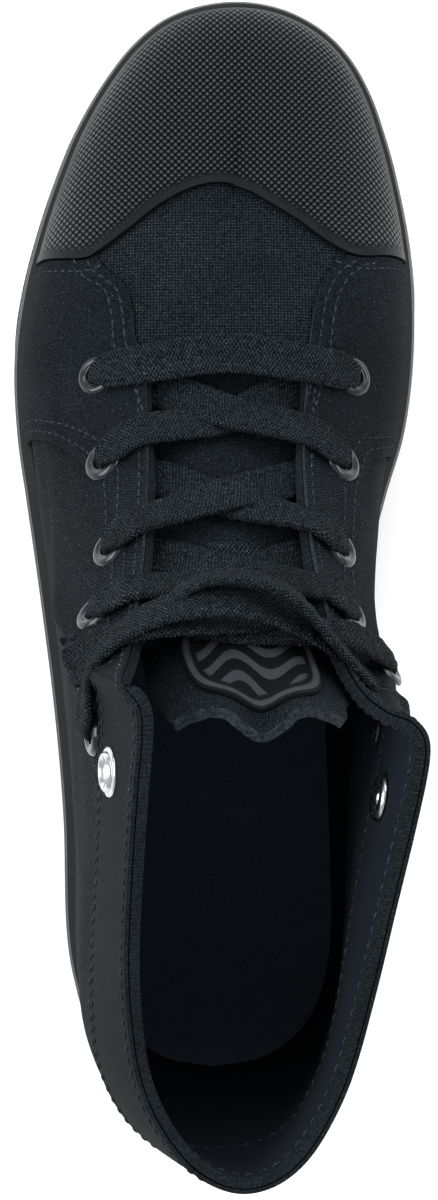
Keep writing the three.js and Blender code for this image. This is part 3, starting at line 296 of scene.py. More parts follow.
class ShoeForm:
    """The curved form that every piece of the upper and the sole follows."""

    def __init__(self, sizes: ShoeSizes) -> None:
        """Read the tables of the form at the given sizes."""
        self.sizes = sizes
        self.outline_table = SmoothTable(OUTLINE_ROWS, 2.0)
        self.edge_table = SmoothTable(EDGE_ROWS)
        self.ridge_table = SmoothTable(RIDGE_ROWS)

    def floor_rise(self, along: Array) -> Array:
        """Return how far the sole's underside stands off the floor: a power curve at the toe, a sine arch."""
        sizes = self.sizes
        length = sizes.sole_length
        start = sizes.spring_start * length
        spring = np.clip((along - start) / (length - start), 0.0, None)
        arch = np.clip((along - sizes.arch_start * length) / (sizes.arch_length * length), 0.0, 1.0)
        return sizes.toe_spring * spring**sizes.spring_power + sizes.arch_lift * np.sin(np.pi * arch) ** 2

    def outline(self, station: Array, inset: Array | float = 0.0) -> tuple[Array, Array]:
        """Find points of the sole's outline, moved inwards.

        Args:
            station: places on the outline.
            inset: distance inwards, in millimetres.

        Returns:
            The points and the inward directions, both in plan.
        """
        def at(place: Array) -> Array:
            """Return the outline's points at some places."""
            return self.outline_table.read(within_turn(place)) * self.sizes.scale[:2]

        station = np.asarray(station, dtype=float)
        tangent = unit(at(station + 0.002) - at(station - 0.002))
        inward = np.stack([-tangent[..., 1], tangent[..., 0]], axis=-1)
        return at(station) + inward * np.asarray(inset)[..., None], inward

    def creases(self, station: Array, share: Array) -> Array:
        """Return how far the cloth's soft creases stand out: a sum of tilted Gaussian troughs and ridges."""
        total = np.zeros(np.broadcast(station, share).shape)
        for place, height, long, wide, tilt, depth in CREASE_ROWS:
            ahead = station - place
            above = (share - height) - tilt * ahead
            total = total + depth * np.exp(-((ahead / long) ** 2) - (above / wide) ** 2)
        return total * smoothstep(1.0, 0.93, share) * smoothstep(0.2, 0.3, share)

    def point(self, station: Array, share: Array) -> Array:
        """Find points of the upper's outer surface.

        A rib stands upright behind the side wall, and then follows a cubic Bezier curve from the wall's top
        to the collar's edge or to the middle line. Near the middle line its height is lowered by
        tan(lean) * (sqrt(d^2 + r^2) - d), so that both sides meet in a round back.

        Args:
            station: places round the shoe.
            share: places up the ribs, from 0 at the foot to 1 at the edge.

        Returns:
            Points in millimetres.
        """
        sizes = self.sizes
        station, share = np.broadcast_arrays(np.asarray(station, float), np.asarray(share, float))
        wrapped = within_turn(station)
        away = np.abs(wrapped)
        on_ridge = away >= sizes.throat_station
        values = np.where(on_ridge[..., None], self.ridge_table.read(away), self.edge_table.read(wrapped))
        plan, inward = self.outline(wrapped, sizes.foxing_wall + sizes.clearance)
        rise = self.floor_rise(plan[..., 1])
        flat = np.zeros(plan.shape[:-1])
        foot = np.stack([plan[..., 0], plan[..., 1], rise + sizes.outsole_thickness + sizes.clearance], -1)
        shoulder = np.stack([plan[..., 0], plan[..., 1], rise + sizes.foxing_height], -1)
        edge = values[..., :3] * sizes.scale
        straight = np.stack([inward[..., 0], inward[..., 1], flat], -1)
        towards = edge - shoulder
        towards[..., 2] = 0.0
        turn = smoothstep(sizes.turn_start, sizes.throat_station, away)[..., None]
        level = unit(straight * (1 - turn) + unit(towards) * turn)
        lean = np.radians(values[..., 3])[..., None]
        upright = np.array([0.0, 0.0, 1.0])
        arrive = level * np.cos(lean) + upright * np.sin(lean)
        flare = values[..., 6:7] - sizes.tuck * smoothstep(*sizes.tuck_span, away)[..., None]
        leave = unit(upright - straight * flare)
        height = (edge[..., 2] - shoulder[..., 2])[..., None]
        span = np.linalg.norm(edge - shoulder, axis=-1, keepdims=True)
        first = shoulder + leave * values[..., 4:5] * height
        second = edge - arrive * values[..., 5:6] * span
        low = np.clip(share / sizes.wall_share, 0.0, 1.0)[..., None]
        high = np.clip((share - sizes.wall_share) / (1 - sizes.wall_share), 0.0, 1.0)[..., None]
        curve = (
            (1 - high) ** 3 * shoulder
            + 3 * (1 - high) ** 2 * high * first
            + 3 * (1 - high) * high**2 * second
            + high**3 * edge
        )
        result = np.where(low < 1.0, foot + (shoulder - foot) * low, curve)
        apart = np.linalg.norm((result - edge)[..., :2], axis=-1)
        full = sizes.throat_station + sizes.ridge_ramp
        radius = sizes.ridge_radius * smoothstep(sizes.throat_station, full, away)
        drop = np.tan(lean[..., 0]) * (np.sqrt(apart**2 + radius**2) - apart)
        result[..., 2] -= np.where(on_ridge, drop * smoothstep(*sizes.ridge_span, share), 0.0)
        return result

    def normal(self, station: Array, share: Array, span: float = 0.004) -> Array:
        """Return the surface's outward directions, from the slopes over a small span."""
        share = np.clip(share, span, 1.0 - span)
        along = self.point(station + span, share) - self.point(station - span, share)
        upward = self.point(station, share + span) - self.point(station, share - span)
        return unit(np.cross(along, upward))

    def share_at(self, station: Array, level: float) -> Array:
        """Find by halving where ribs reach a height above the floor, in millimetres."""
        low = np.full(np.shape(station), self.sizes.wall_share)
        high = np.ones(np.shape(station))
        return halved(low, high, lambda share: self.point(station, share)[..., 2] < level, 26)

    def place_at(self, side: Side, along: float, height: float) -> tuple[float, float]:
        """Find the station and the rib share of a place seen from the side, given in shares of the sizes."""
        target = along * self.sizes.sole_length
        level = height * self.sizes.shaft_height

        def behind(middle: Array) -> bool:
            """Return whether the rib there meets the level behind the place."""
            station = side.value * middle
            return self.point(station, self.share_at(station, level))[1] < target

        station = side.value * float(halved(0.25, self.sizes.throat_station, behind))
        return station, float(self.share_at(station, level))


# Pieces of the surface, and closed meshes made from them


@dataclass
class Patch:
    """Triangles over the shoe's form: places holds a station and a rib share for each point."""

    places: Array
    faces: Array

    @classmethod
    def over(cls, stations: Array, shares: Array) -> Patch:
        """Lay a grid of triangles over the stations and the rib shares, its faces looking outwards."""
        columns, rows = len(stations), len(shares)
        grid = np.stack(np.meshgrid(stations, shares, indexing="ij"), -1).reshape(-1, 2)
        first = (np.arange(columns - 1)[:, None] * rows + np.arange(rows - 1)[None, :]).ravel()
        right = first + rows
        faces = np.vstack([
            np.stack([first, right, right + 1], -1),
            np.stack([first, right + 1, first + 1], -1),
        ])
        return cls(grid, faces)

    def crossed(self, value: Array, keys: Array) -> Array:
        """Return the places where the edges between pairs of points cross a field's zero."""
        first, second = value[keys[:, 0]], value[keys[:, 1]]
        share = (first / (first - second))[:, None]
        return self.places[keys[:, 0]] * (1 - share) + self.places[keys[:, 1]] * share

    def clipped(self, measure: Measure) -> Patch:
        """Keep what lies where a field is positive, cutting faces along its zero line.

        Args:
            measure: gives the field in millimetres at an array of places.

        Returns:
            The remaining patch.
        """
        value = measure(self.places)
        inside = value >= 0
        count = inside[self.faces].sum(1)
        one = self.faces[count == 1]
        two = self.faces[count == 2]
        turn_one = np.argmax(inside[one], 1)
        turn_two = np.argmin(inside[two], 1)
        one = np.take_along_axis(one, (turn_one[:, None] + np.arange(3)) % 3, 1)
        two = np.take_along_axis(two, (turn_two[:, None] + np.arange(3)) % 3, 1)
        ends = np.vstack([one[:, [0, 1]], one[:, [0, 2]], two[:, [0, 1]], two[:, [0, 2]]])
        keys, where = np.unique(np.sort(ends, 1), axis=0, return_inverse=True)
        where = where.ravel() + len(self.places)
        a, b = len(one), len(two)
        one_right, one_left = where[:a], where[a:2 * a]
        two_right, two_left = where[2 * a:2 * a + b], where[2 * a + b:]
        faces = np.vstack([
            self.faces[count == 3],
            np.stack([one[:, 0], one_right, one_left], -1),
            np.stack([two_right, two[:, 1], two[:, 2]], -1),
            np.stack([two_right, two[:, 2], two_left], -1),
        ])
        places = np.vstack([self.places, self.crossed(value, keys)])
        used, faces = np.unique(faces, return_inverse=True)
        return Patch(places[used], faces.reshape(-1, 3))

    def line(self, measure: Measure, level: float) -> list[Array]:
        """Follow the line on which a field has one value.

        Args:
            measure: gives the field at an array of places.
            level: the value to follow.

        Returns:
            The places along each unbroken line.
        """
        value = measure(self.places) - level
        inside = value >= 0
        crossing = self.faces[(inside[self.faces].sum(1) % 3) != 0]
        edges = np.sort(np.stack([crossing, np.roll(crossing, -1, 1)], -1), -1)
        cut = inside[edges[..., 0]] != inside[edges[..., 1]]
        pairs = edges[cut].reshape(-1, 2, 2)
        keys, where = np.unique(pairs.reshape(-1, 2), axis=0, return_inverse=True)
        links = where.reshape(-1, 2)
        places = self.crossed(value, keys)
        near: dict[int, list[int]] = {}
        for start, end in links.tolist():
            near.setdefault(start, []).append(end)
            near.setdefault(end, []).append(start)
        lines = []
        left = set(near)
        while left:
            start = next((key for key in sorted(left) if len(near[key]) == 1), min(left))
            chain = [start]
            left.discard(start)
            while True:
                following = [key for key in near[chain[-1]] if key in left]
                if not following:
                    break
                chain.append(following[0])
                left.discard(following[0])
            if len(chain) > 3:
                lines.append(places[chain])
        return lines


@dataclass
class Build:
    """The parts of one mesh: points in millimetres, faces, a UV pair for each face corner and finish numbers.

    relief holds, for each point, how much of the finish's raised pattern shows there.
    """

    points: Array
    faces: list[Array]
    corner_uv: list[Array]
    finish: list[Array]
    relief: Array | None = None

    @classmethod
    def joined(cls, builds: Sequence[Build]) -> Build:
        """Join several builds into one."""
        offset = 0
        whole = cls(np.vstack([build.points for build in builds]), [], [], [])
        for build in builds:
            whole.faces += [faces + offset for faces in build.faces]
            whole.corner_uv += build.corner_uv
            whole.finish += build.finish
            offset += len(build.points)
        return whole


def welded(points: Array, faces: Array) -> tuple[Array, Array, Array]:
    """Join points that lie within a micrometre, and drop faces that fall flat.

    Args:
        points: points in millimetres.
        faces: triangles over them.

    Returns:
        The joined points, the faces over them, and which faces were kept.
    """
    keys = np.round(points, 3)
    _, first, where = np.unique(keys, axis=0, return_index=True, return_inverse=True)
    moved = where.ravel()[faces]
    whole = (moved[:, 0] != moved[:, 1]) & (moved[:, 1] != moved[:, 2]) & (moved[:, 0] != moved[:, 2])
    return points[first], moved[whole], whole


def point_normals(points: Array, faces: Array) -> Array:
    """Return the mean direction of the faces round each point, weighted by area."""
    normals = np.zeros_like(points)
    corners = points[faces]
    weight = np.cross(corners[:, 1] - corners[:, 0], corners[:, 2] - corners[:, 0])
    for column in faces.T:
        np.add.at(normals, column, weight)
    return unit(normals)


def closed_between(upper: Array, lower: Array, faces: Array, corner_uv: Array,
                   finishes: tuple[int, int, int] = (0, 0, 0)) -> Build:
    """Close the space between two copies of an open surface with a rim of quads.

    Args:
        upper: points of the outer copy in millimetres.
        lower: points of the inner copy, one for each of the outer.
        faces: triangles over either copy, those of the outer looking outwards.
        corner_uv: a UV pair for each corner.
        finishes: finish numbers of the outer face, the inner face and the rim.

    Returns:
        The closed build.
    """
    count = len(upper)
    sides = np.stack([faces, np.roll(faces, -1, 1)], -1).reshape(-1, 2)
    side_uv = np.stack([corner_uv, np.roll(corner_uv, -1, 1)], 2).reshape(-1, 2, 2)
    open_side = ~np.isin(sides[:, 0] * count + sides[:, 1], sides[:, 1] * count + sides[:, 0])
    start, end = sides[open_side].T
    rim = np.stack([end, start, start + count, end + count], -1)
    parts = [faces, faces[:, ::-1] + count, rim]
    return Build(
        np.vstack([upper, lower]),
        parts,
        [corner_uv, corner_uv[:, ::-1], side_uv[open_side][:, [1, 0, 0, 1]]],
        [np.full(len(part), finish) for part, finish in zip(parts, finishes)],
    )


def shell(points: Array, faces: Array, uv: Array, inner: Array | float, outer: Array | float,
          finishes: tuple[int, int, int] = (0, 0, 0), relief: Array | None = None) -> Build:
    """Close the space between two distances from an open surface.

    Args:
        points: points of the surface in millimetres.
        faces: triangles whose faces look outwards.
        uv: a UV pair for each point.
        inner: distance of the inner face along the normals.
        outer: distance of the outer face.
        finishes: finish numbers of the outer face, the inner face and the rim.
        relief: how much of the raised pattern shows at each point.

    Returns:
        The closed build.
    """
    joined, triangles, kept = welded(points, faces)
    _, first = np.unique(np.round(points, 3), axis=0, return_index=True)
    normals = point_normals(joined, triangles)
    upper, lower = (
        joined + normals * np.broadcast_to(distance, len(points))[first][:, None]
        for distance in (outer, inner)
    )
    build = closed_between(upper, lower, triangles, uv[faces][kept], finishes)
    if relief is not None:
        build.relief = np.tile(relief[first], 2)
    return build


def swept(rings: Array, closed_along: bool, across_uv: Array | None = None) -> Build:
    """Carry a closed section along a path: quads between neighbouring rings of the same number of points.

    Args:
        rings: points of the rings, as ring, point of the section and coordinate.
        closed_along: whether the last ring joins the first.
        across_uv: the distance round the section that each of its points gets as its second UV number.

    Returns:
        The build, with flat lids where the path isn't closed.
    """
    count, size = rings.shape[:2]
    middle = rings.mean(1)
    travel = travel_along(middle)
    if across_uv is None:
        across_uv = travel_along(rings[0])
    total = travel[-1] + (np.linalg.norm(middle[0] - middle[-1]) if closed_along else 0.0)
    last_gap = float(np.linalg.norm(rings[0, -1] - rings[0, 0]))
    ring_count = count if closed_along else count - 1
    ring, corner = np.meshgrid(np.arange(ring_count), np.arange(size), indexing="ij")
    ring, corner = ring.ravel(), corner.ravel()
    next_ring, next_corner = (ring + 1) % count, (corner + 1) % size
    faces = np.stack([
        ring * size + corner, next_ring * size + corner,
        next_ring * size + next_corner, ring * size + next_corner,
    ], -1)
    first_u = travel[ring]
    second_u = np.where(next_ring == 0, total, travel[next_ring])
    first_v = across_uv[corner]
    second_v = np.where(next_corner == 0, across_uv[-1] + last_gap, across_uv[next_corner])
    uv = np.stack([
        np.stack([first_u, first_v], -1), np.stack([second_u, first_v], -1),
        np.stack([second_u, second_v], -1), np.stack([first_u, second_v], -1),
    ], 1)
    build = Build(rings.reshape(-1, 3), [faces], [uv], [np.zeros(len(faces), int)])
    if not closed_along:
        fan = np.arange(1, size - 1)
        zero = np.zeros_like(fan)
        last = (count - 1) * size
        for lid in (np.stack([zero, fan, fan + 1], -1), last + np.stack([zero, fan + 1, fan], -1)):
            build.faces.append(lid)
            build.corner_uv.append(np.zeros((len(lid), 3, 2)))
            build.finish.append(np.zeros(len(lid), int))
    return build


def make_piece(name: str, build: Build, materials: Sequence[Material],
               replaced: Sequence[str] = (), crease_angle: float = 40.0) -> bpy.types.Object:
    """Put a build into a mesh object in the frame, dress it and fasten it to the shoe.

    Args:
        name: the piece's name.
        build: its points and faces.
        materials: the materials that the finish numbers point to.
        replaced: nodes of the frame that the piece stands for.
        crease_angle: edges that bend more than this many degrees stay sharp.

    Returns:
        The object.
    """
    sizes = np.concatenate([np.full(len(faces), faces.shape[1]) for faces in build.faces])
    corners = np.concatenate([faces.ravel() for faces in build.faces])
    uv = np.concatenate([part.reshape(-1, 2) for part in build.corner_uv])
    finish = np.concatenate(build.finish)
    mesh = bpy.data.meshes.new(name)
    mesh.vertices.add(len(build.points))
    mesh.vertices.foreach_set("co", ((build.points + FRAME_SHIFT) * MILLIMETRE).astype(np.float32).ravel())
    mesh.loops.add(len(corners))
    mesh.loops.foreach_set("vertex_index", corners.astype(np.int32))
    mesh.polygons.add(len(sizes))
    starts = np.concatenate([[0], np.cumsum(sizes)[:-1]])
    mesh.polygons.foreach_set("loop_start", starts.astype(np.int32))
    mesh.polygons.foreach_set("material_index", finish.astype(np.int32))
    mesh.polygons.foreach_set("use_smooth", np.ones(len(sizes), dtype=bool))
    mesh.uv_layers.new(name="cloth").data.foreach_set("uv", uv.astype(np.float32).ravel())
    if build.relief is not None:
        relief = mesh.attributes.new("relief", "FLOAT", "POINT")
        relief.data.foreach_set("value", build.relief.astype(np.float32))
    mesh.update(calc_edges=True)
    mesh.validate()
    mesh.set_sharp_from_angle(angle=math.radians(crease_angle))
    for material in materials:
        mesh.materials.append(material)
    piece = bpy.data.objects.new(name, mesh)
    bpy.context.scene.collection.objects.link(piece)
    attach(piece, "root")
    if replaced:
        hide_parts(*replaced)
    LOG.info("%s: %d faces", name, len(mesh.polygons))
    return piece


def facing_out(build: Build) -> Build:
    """Turn every face round if the closed build's signed volume, the sum of p0.(p1 x p2)/6, is negative."""
    volume = 0.0
    for faces in build.faces:
        corners = build.points[faces]
        for step in range(1, faces.shape[1] - 1):
            cross = np.cross(corners[:, step], corners[:, step + 1])
            volume += float((corners[:, 0] * cross).sum())
    if volume >= 0:
        return build
    return Build(
        build.points,
        [faces[:, ::-1] for faces in build.faces],
        [uv[:, ::-1] for uv in build.corner_uv],
        build.finish,
        build.relief,
    )


# Finishes


class NodeTree:
    """A short way to lay out the nodes of one material."""

    def __init__(self, name: str) -> None:
        """Start a material with its shader and output."""
        self.material = bpy.data.materials.new(name)
        self.material.use_nodes = True
        self.nodes = self.material.node_tree.nodes
        self.links = self.material.node_tree.links
        self.shader = self.nodes["Principled BSDF"]

    def node(self, kind: str, inputs: dict[str | int, object] | None = None,
             **settings: object) -> bpy.types.Node:
        """Add a node, set its options, and set or link its inputs."""
        node = self.nodes.new(kind)
        for key, value in settings.items():
            setattr(node, key, value)
        for key, value in (inputs or {}).items():
            self.feed(node.inputs[key], value)
        return node

    def feed(self, socket: Socket, value: object) -> None:
        """Link a socket, or set its number."""
        if isinstance(value, Socket):
            self.links.new(value, socket)
        else:
            socket.default_value = value

    def finished(self, inputs: dict[str, object]) -> Material:
        """Feed the shader's inputs and return the material."""
        for key, value in inputs.items():
            self.feed(self.shader.inputs[key], value)
        return self.material

    def math(self, operation: str, first: object, second: object = 0.0) -> Socket:
        """Return the result of one Math node."""
        return self.node("ShaderNodeMath", {0: first, 1: second}, operation=operation).outputs[0]

    def noise(self, where: Socket, scale: float, detail: float = 3.0,
              roughness: float = 0.55) -> Socket:
        """Return the value of a noise texture."""
        inputs = {"Vector": where, "Scale": scale, "Detail": detail, "Roughness": roughness}
        return self.node("ShaderNodeTexNoise", inputs).outputs["Fac"]

    def ramp(self, value: Socket, low: float, high: float, bottom: float = 0.0,
             top: float = 1.0) -> Socket:
        """Return a value moved from one range to another and held there."""
        inputs = {"Value": value, "From Min": low, "From Max": high, "To Min": bottom, "To Max": top}
        return self.node("ShaderNodeMapRange", inputs).outputs["Result"]

    def blend(self, share: object, first: Sequence[float], second: Sequence[float]) -> Socket:
        """Return a mix of two colours."""
        node = self.node("ShaderNodeMix", data_type="RGBA")
        self.feed(node.inputs[0], share)
        for socket, colour in ((node.inputs[6], first), (node.inputs[7], second)):
            self.feed(socket, colour if isinstance(colour, Socket) else (*colour, 1.0))
        return node.outputs[2]

    def bump(self, height: Socket, distance: float, strength: float = 1.0,
             under: Socket | None = None) -> Socket:
        """Return a normal bent by a height in metres, over another where one is given."""
        inputs: dict[str | int, object] = {"Height": height, "Distance": distance, "Strength": strength}
        if under is not None:
            inputs["Normal"] = under
        return self.node("ShaderNodeBump", inputs).outputs["Normal"]

    def object_place(self) -> Socket:
        """Return the place on the piece, in metres."""
        return self.node("ShaderNodeTexCoord").outputs["Object"]

    def cloth_place(self) -> tuple[Socket, Socket]:
        """Return the two UV numbers, in millimetres."""
        uv = self.node("ShaderNodeUVMap", uv_map="cloth").outputs["UV"]
        parts = self.node("ShaderNodeSeparateXYZ", {"Vector": uv})
        return parts.outputs["X"], parts.outputs["Y"]

    def thread(self, place: Socket, pitch: float) -> Socket:
        """Return the signed wave sin(pi * place / pitch) of threads that lie side by side."""
        return self.math("SINE", self.math("MULTIPLY", place, math.pi / pitch))


BADGE_UV = (14.0, 8.1)  # half sizes of the badge in its own UV, in millimetres
CLOTH_UV = (20.0, 110.0)  # half width and length of the tongue in its UV, in millimetres


class Weave(Enum):
    """How the threads of a cloth lie."""

    BASKET = "basket"
    RIB = "rib"
    BRAID = "braid"
    KNURL = "knurl"
    KNIT = "knit"


def weave_height(tree: NodeTree, weave: Weave, pitch: float) -> Socket:
    """Return the height of a woven or cut surface from 0 to 1.

    Two waves cross, u = sin(pi x / p) and v = sin(pi y / p). In a basket weave or a knit |u| shows where
    u v > 0 and |v| elsewhere. A rib is |u| with a shallow |v|, a braid is the basket weave at a slant, and a
    knurl is |u'| |v'| at 45 degrees, where u' and v' run along x + y and x - y.

    Args:
        tree: the material's nodes.
        weave: the kind of surface.
        pitch: width of one thread in millimetres.

    Returns:
        The height.
    """
    across, along = tree.cloth_place()
    if weave in (Weave.KNURL, Weave.BRAID):
        slant = 1.0 if weave is Weave.KNURL else 0.6
        tilted = tree.math("MULTIPLY", along, slant)
        across, along = tree.math("ADD", across, tilted), tree.math("SUBTRACT", across, tilted)
    first, second = tree.thread(across, pitch), tree.thread(along, pitch)
    first_height, second_height = tree.math("ABSOLUTE", first), tree.math("ABSOLUTE", second)
    if weave is Weave.RIB:
        fine = tree.math("MULTIPLY", second_height, 0.25)
        return tree.math("ADD", tree.math("MULTIPLY", first_height, 0.75), fine)
    if weave is Weave.KNURL:
        return tree.math("MULTIPLY", first_height, second_height)
    over = tree.math("GREATER_THAN", tree.math("MULTIPLY", first, second), 0.0)
    under = tree.math("MULTIPLY", second_height, tree.math("SUBTRACT", 1.0, over))
    return tree.math("ADD", tree.math("MULTIPLY", first_height, over), under)


@dataclass(frozen=True)
class Finish:
    """What every finish has: its material's name and its two tones."""

    name: str
    dark: Colour
    light: Colour


@dataclass(frozen=True)
class ClothFinish(Finish):
    """Cloth: threads by a weave in the UV map, lint, thread tops painted lighter and hollows painted darker
    as light and shade, and dark pits with painted shade in a coarse webbing.
    """

    weave: Weave
    pitch: float
    depth: float = 0.0003
    lint: float = 0.35
    pits: bool = False

    def material(self) -> Material:
        """Return the finished material."""
        tree = NodeTree(self.name)
        place = tree.object_place()
        height = weave_height(tree, self.weave, self.pitch)
        fuzz = tree.noise(place, 1800.0, 2.0, 0.7)
        wear = tree.noise(place, 45.0, 4.0, 0.6)
        # painted light and shade: the base colour is lighter on the thread tops and darker in the hollows
        # between threads
        thread_shading = tree.math("MULTIPLY", tree.math("POWER", height, 2.2), tree.ramp(fuzz, 0.32, 0.68))
        if self.pits:
            # painted shade: the pits of the webbing are darkened in the base colour, and also lowered in the
            # bump
            pits = tree.ramp(tree.noise(place, 1100.0, 1.0, 0.5), 0.3, 0.5, 0.45)
            thread_shading = tree.math("MULTIPLY", thread_shading, pits)
            height = tree.math("MULTIPLY", height, tree.ramp(pits, 0.0, 1.0, 0.35, 1.0))
        # the painted thread shading, darkened further in random worn patches
        shading_and_wear = tree.math("MULTIPLY", thread_shading, tree.ramp(wear, 0.3, 0.75, 0.5, 1.0))
        base = tree.blend(shading_and_wear, self.dark, self.light)
        speck = tree.ramp(tree.noise(place, 2600.0, 1.0, 0.5), 0.7, 0.78, 0.0, self.lint)
        pale = tuple(min(1.0, 4.0 * value + 0.02) for value in self.light)
        coarse = tree.bump(height, self.depth, 0.9)
        return tree.finished({
            "Base Color": tree.blend(speck, base, pale),
            "Roughness": 0.9,
            "Specular IOR Level": 0.1,
            "Normal": tree.bump(fuzz, self.depth * 0.4, 0.5, coarse),
        })


@dataclass(frozen=True)
class FuzzFinish(Finish):
    """Brushed or cut cloth with no weave to see: short lint over a soft ground."""

    depth: float = 0.0001

    def material(self) -> Material:
        """Return the finished material."""
        tree = NodeTree(self.name)
        place = tree.object_place()
        lint = tree.noise(place, 1300.0, 3.0, 0.7)
        cloud = tree.noise(place, 60.0, 4.0, 0.6)
        tone = tree.math("MULTIPLY", tree.ramp(lint, 0.3, 0.75), tree.ramp(cloud, 0.3, 0.7, 0.5, 1.0))
        return tree.finished({
            "Base Color": tree.blend(tone, self.dark, self.light),
            "Roughness": 0.95,
            "Specular IOR Level": 0.12,
            "Normal": tree.bump(lint, self.depth, 0.8),
        })


@dataclass(frozen=True)
class RubberFinish(Finish):
    """Moulded rubber: a fine grain, dull patches and dust, with a knurl where it has one, its tops painted
    lighter as a highlight and its hollows painted darker as shade.
    """

    roughness: float
    coat: float = 0.0
    specular: float = 0.5
    knurl_pitch: float = 0.0
    knurl_depth: float = 0.0

    def material(self) -> Material:
        """Return the finished material."""
        tree = NodeTree(self.name)
        place = tree.object_place()
        patches = tree.noise(place, 30.0, 5.0, 0.6)
        grain = tree.noise(place, 1500.0, 2.0, 0.6)
        if self.knurl_pitch:
            height = weave_height(tree, Weave.KNURL, self.knurl_pitch)
            shown = tree.node("ShaderNodeAttribute", attribute_name="relief").outputs["Fac"]
            # painted highlight and shade: the knurl's tops are lighter and its hollows darker in the base
            # colour, with a flat tone on the plain border
            top = tree.math("MULTIPLY", tree.math("POWER", height, 0.75), shown)
            plain = tree.math("MULTIPLY", tree.math("SUBTRACT", 1.0, shown), 0.14)
            lit = tree.math("ADD", tree.ramp(top, 0.25, 0.95), plain)
            tone = tree.math("MULTIPLY", lit, tree.ramp(patches, 0.3, 0.7, 0.6, 1.0))
            specular = tree.ramp(lit, 0.0, 1.0, 0.03, self.specular)
            normal = tree.bump(grain, 0.00004, 0.4, tree.bump(top, self.knurl_depth))
        else:
            tone = tree.ramp(patches, 0.3, 0.72)
            specular = self.specular
            normal = tree.bump(grain, 0.00003, 0.35)
        return tree.finished({
            "Base Color": tree.blend(tone, self.dark, self.light),
            "Roughness": tree.ramp(patches, 0.3, 0.7, self.roughness - 0.07, self.roughness + 0.12),
            "Specular IOR Level": specular,
            "Normal": normal,
            "Coat Weight": self.coat,
            "Coat Roughness": 0.2,
        })


@dataclass(frozen=True)
class MetalFinish(Finish):
    """Pressed metal, plated or enamelled: fine scratches and smudges."""

    metallic: float
    roughness: float

    def material(self) -> Material:
        """Return the finished material."""
        tree = NodeTree(self.name)
        place = tree.object_place()
        smudge = tree.noise(place, 300.0, 4.0, 0.6)
        scratch = tree.noise(place, 2500.0, 2.0, 0.7)
        return tree.finished({
            "Base Color": tree.blend(tree.ramp(smudge, 0.3, 0.7), self.dark, self.light),
            "Metallic": self.metallic,
            "Roughness": tree.ramp(smudge, 0.35, 0.7, self.roughness, self.roughness + 0.18),
            "Normal": tree.bump(scratch, 0.00001, 0.3),
        })


@dataclass(frozen=True)
class BadgeFinish(Finish):
    """A woven badge: a pale border, and pale waves on a dark ground, in the badge's own UV."""

    def material(self) -> Material:
        """Return the finished material.

        Wave bands |sin(k y + a sin(m x))| over a threshold lie inside a border between two superellipses
        |x / a|^3.2 + |y / b|^3.2.
        """
        tree = NodeTree(self.name)
        across, along = tree.cloth_place()
        sway = tree.math("MULTIPLY", tree.math("SINE", tree.math("MULTIPLY", across, 0.42)), 1.5)
        wave = tree.math("SINE", tree.math("ADD", tree.math("MULTIPLY", along, 0.78), sway))
        band = tree.ramp(tree.math("ABSOLUTE", wave), 0.72, 0.82)
        side, end = (
            tree.math("POWER", tree.math("ABSOLUTE", tree.math("DIVIDE", place, half)), 3.2)
            for place, half in zip((across, along), BADGE_UV)
        )
        reach = tree.math("ADD", side, end)
        border = tree.math("MULTIPLY", tree.ramp(reach, 0.62, 0.68), tree.ramp(reach, 0.92, 0.86))
        motif = tree.math("MAXIMUM", tree.math("MULTIPLY", band, tree.ramp(reach, 0.52, 0.44)), border)
        threads = weave_height(tree, Weave.RIB, 0.35)
        fuzz = tree.noise(tree.object_place(), 1800.0, 2.0, 0.7)
        pale = tree.math("MULTIPLY", motif, tree.ramp(fuzz, 0.2, 0.7, 0.6, 1.0))
        raised = tree.math("ADD", tree.math("MULTIPLY", motif, 0.7), tree.math("MULTIPLY", threads, 0.5))
        return tree.finished({
            "Base Color": tree.blend(pale, self.dark, self.light),
            "Roughness": 0.75,
            "Specular IOR Level": 0.15,
            "Normal": tree.bump(raised, 0.0003, 0.8),
        })


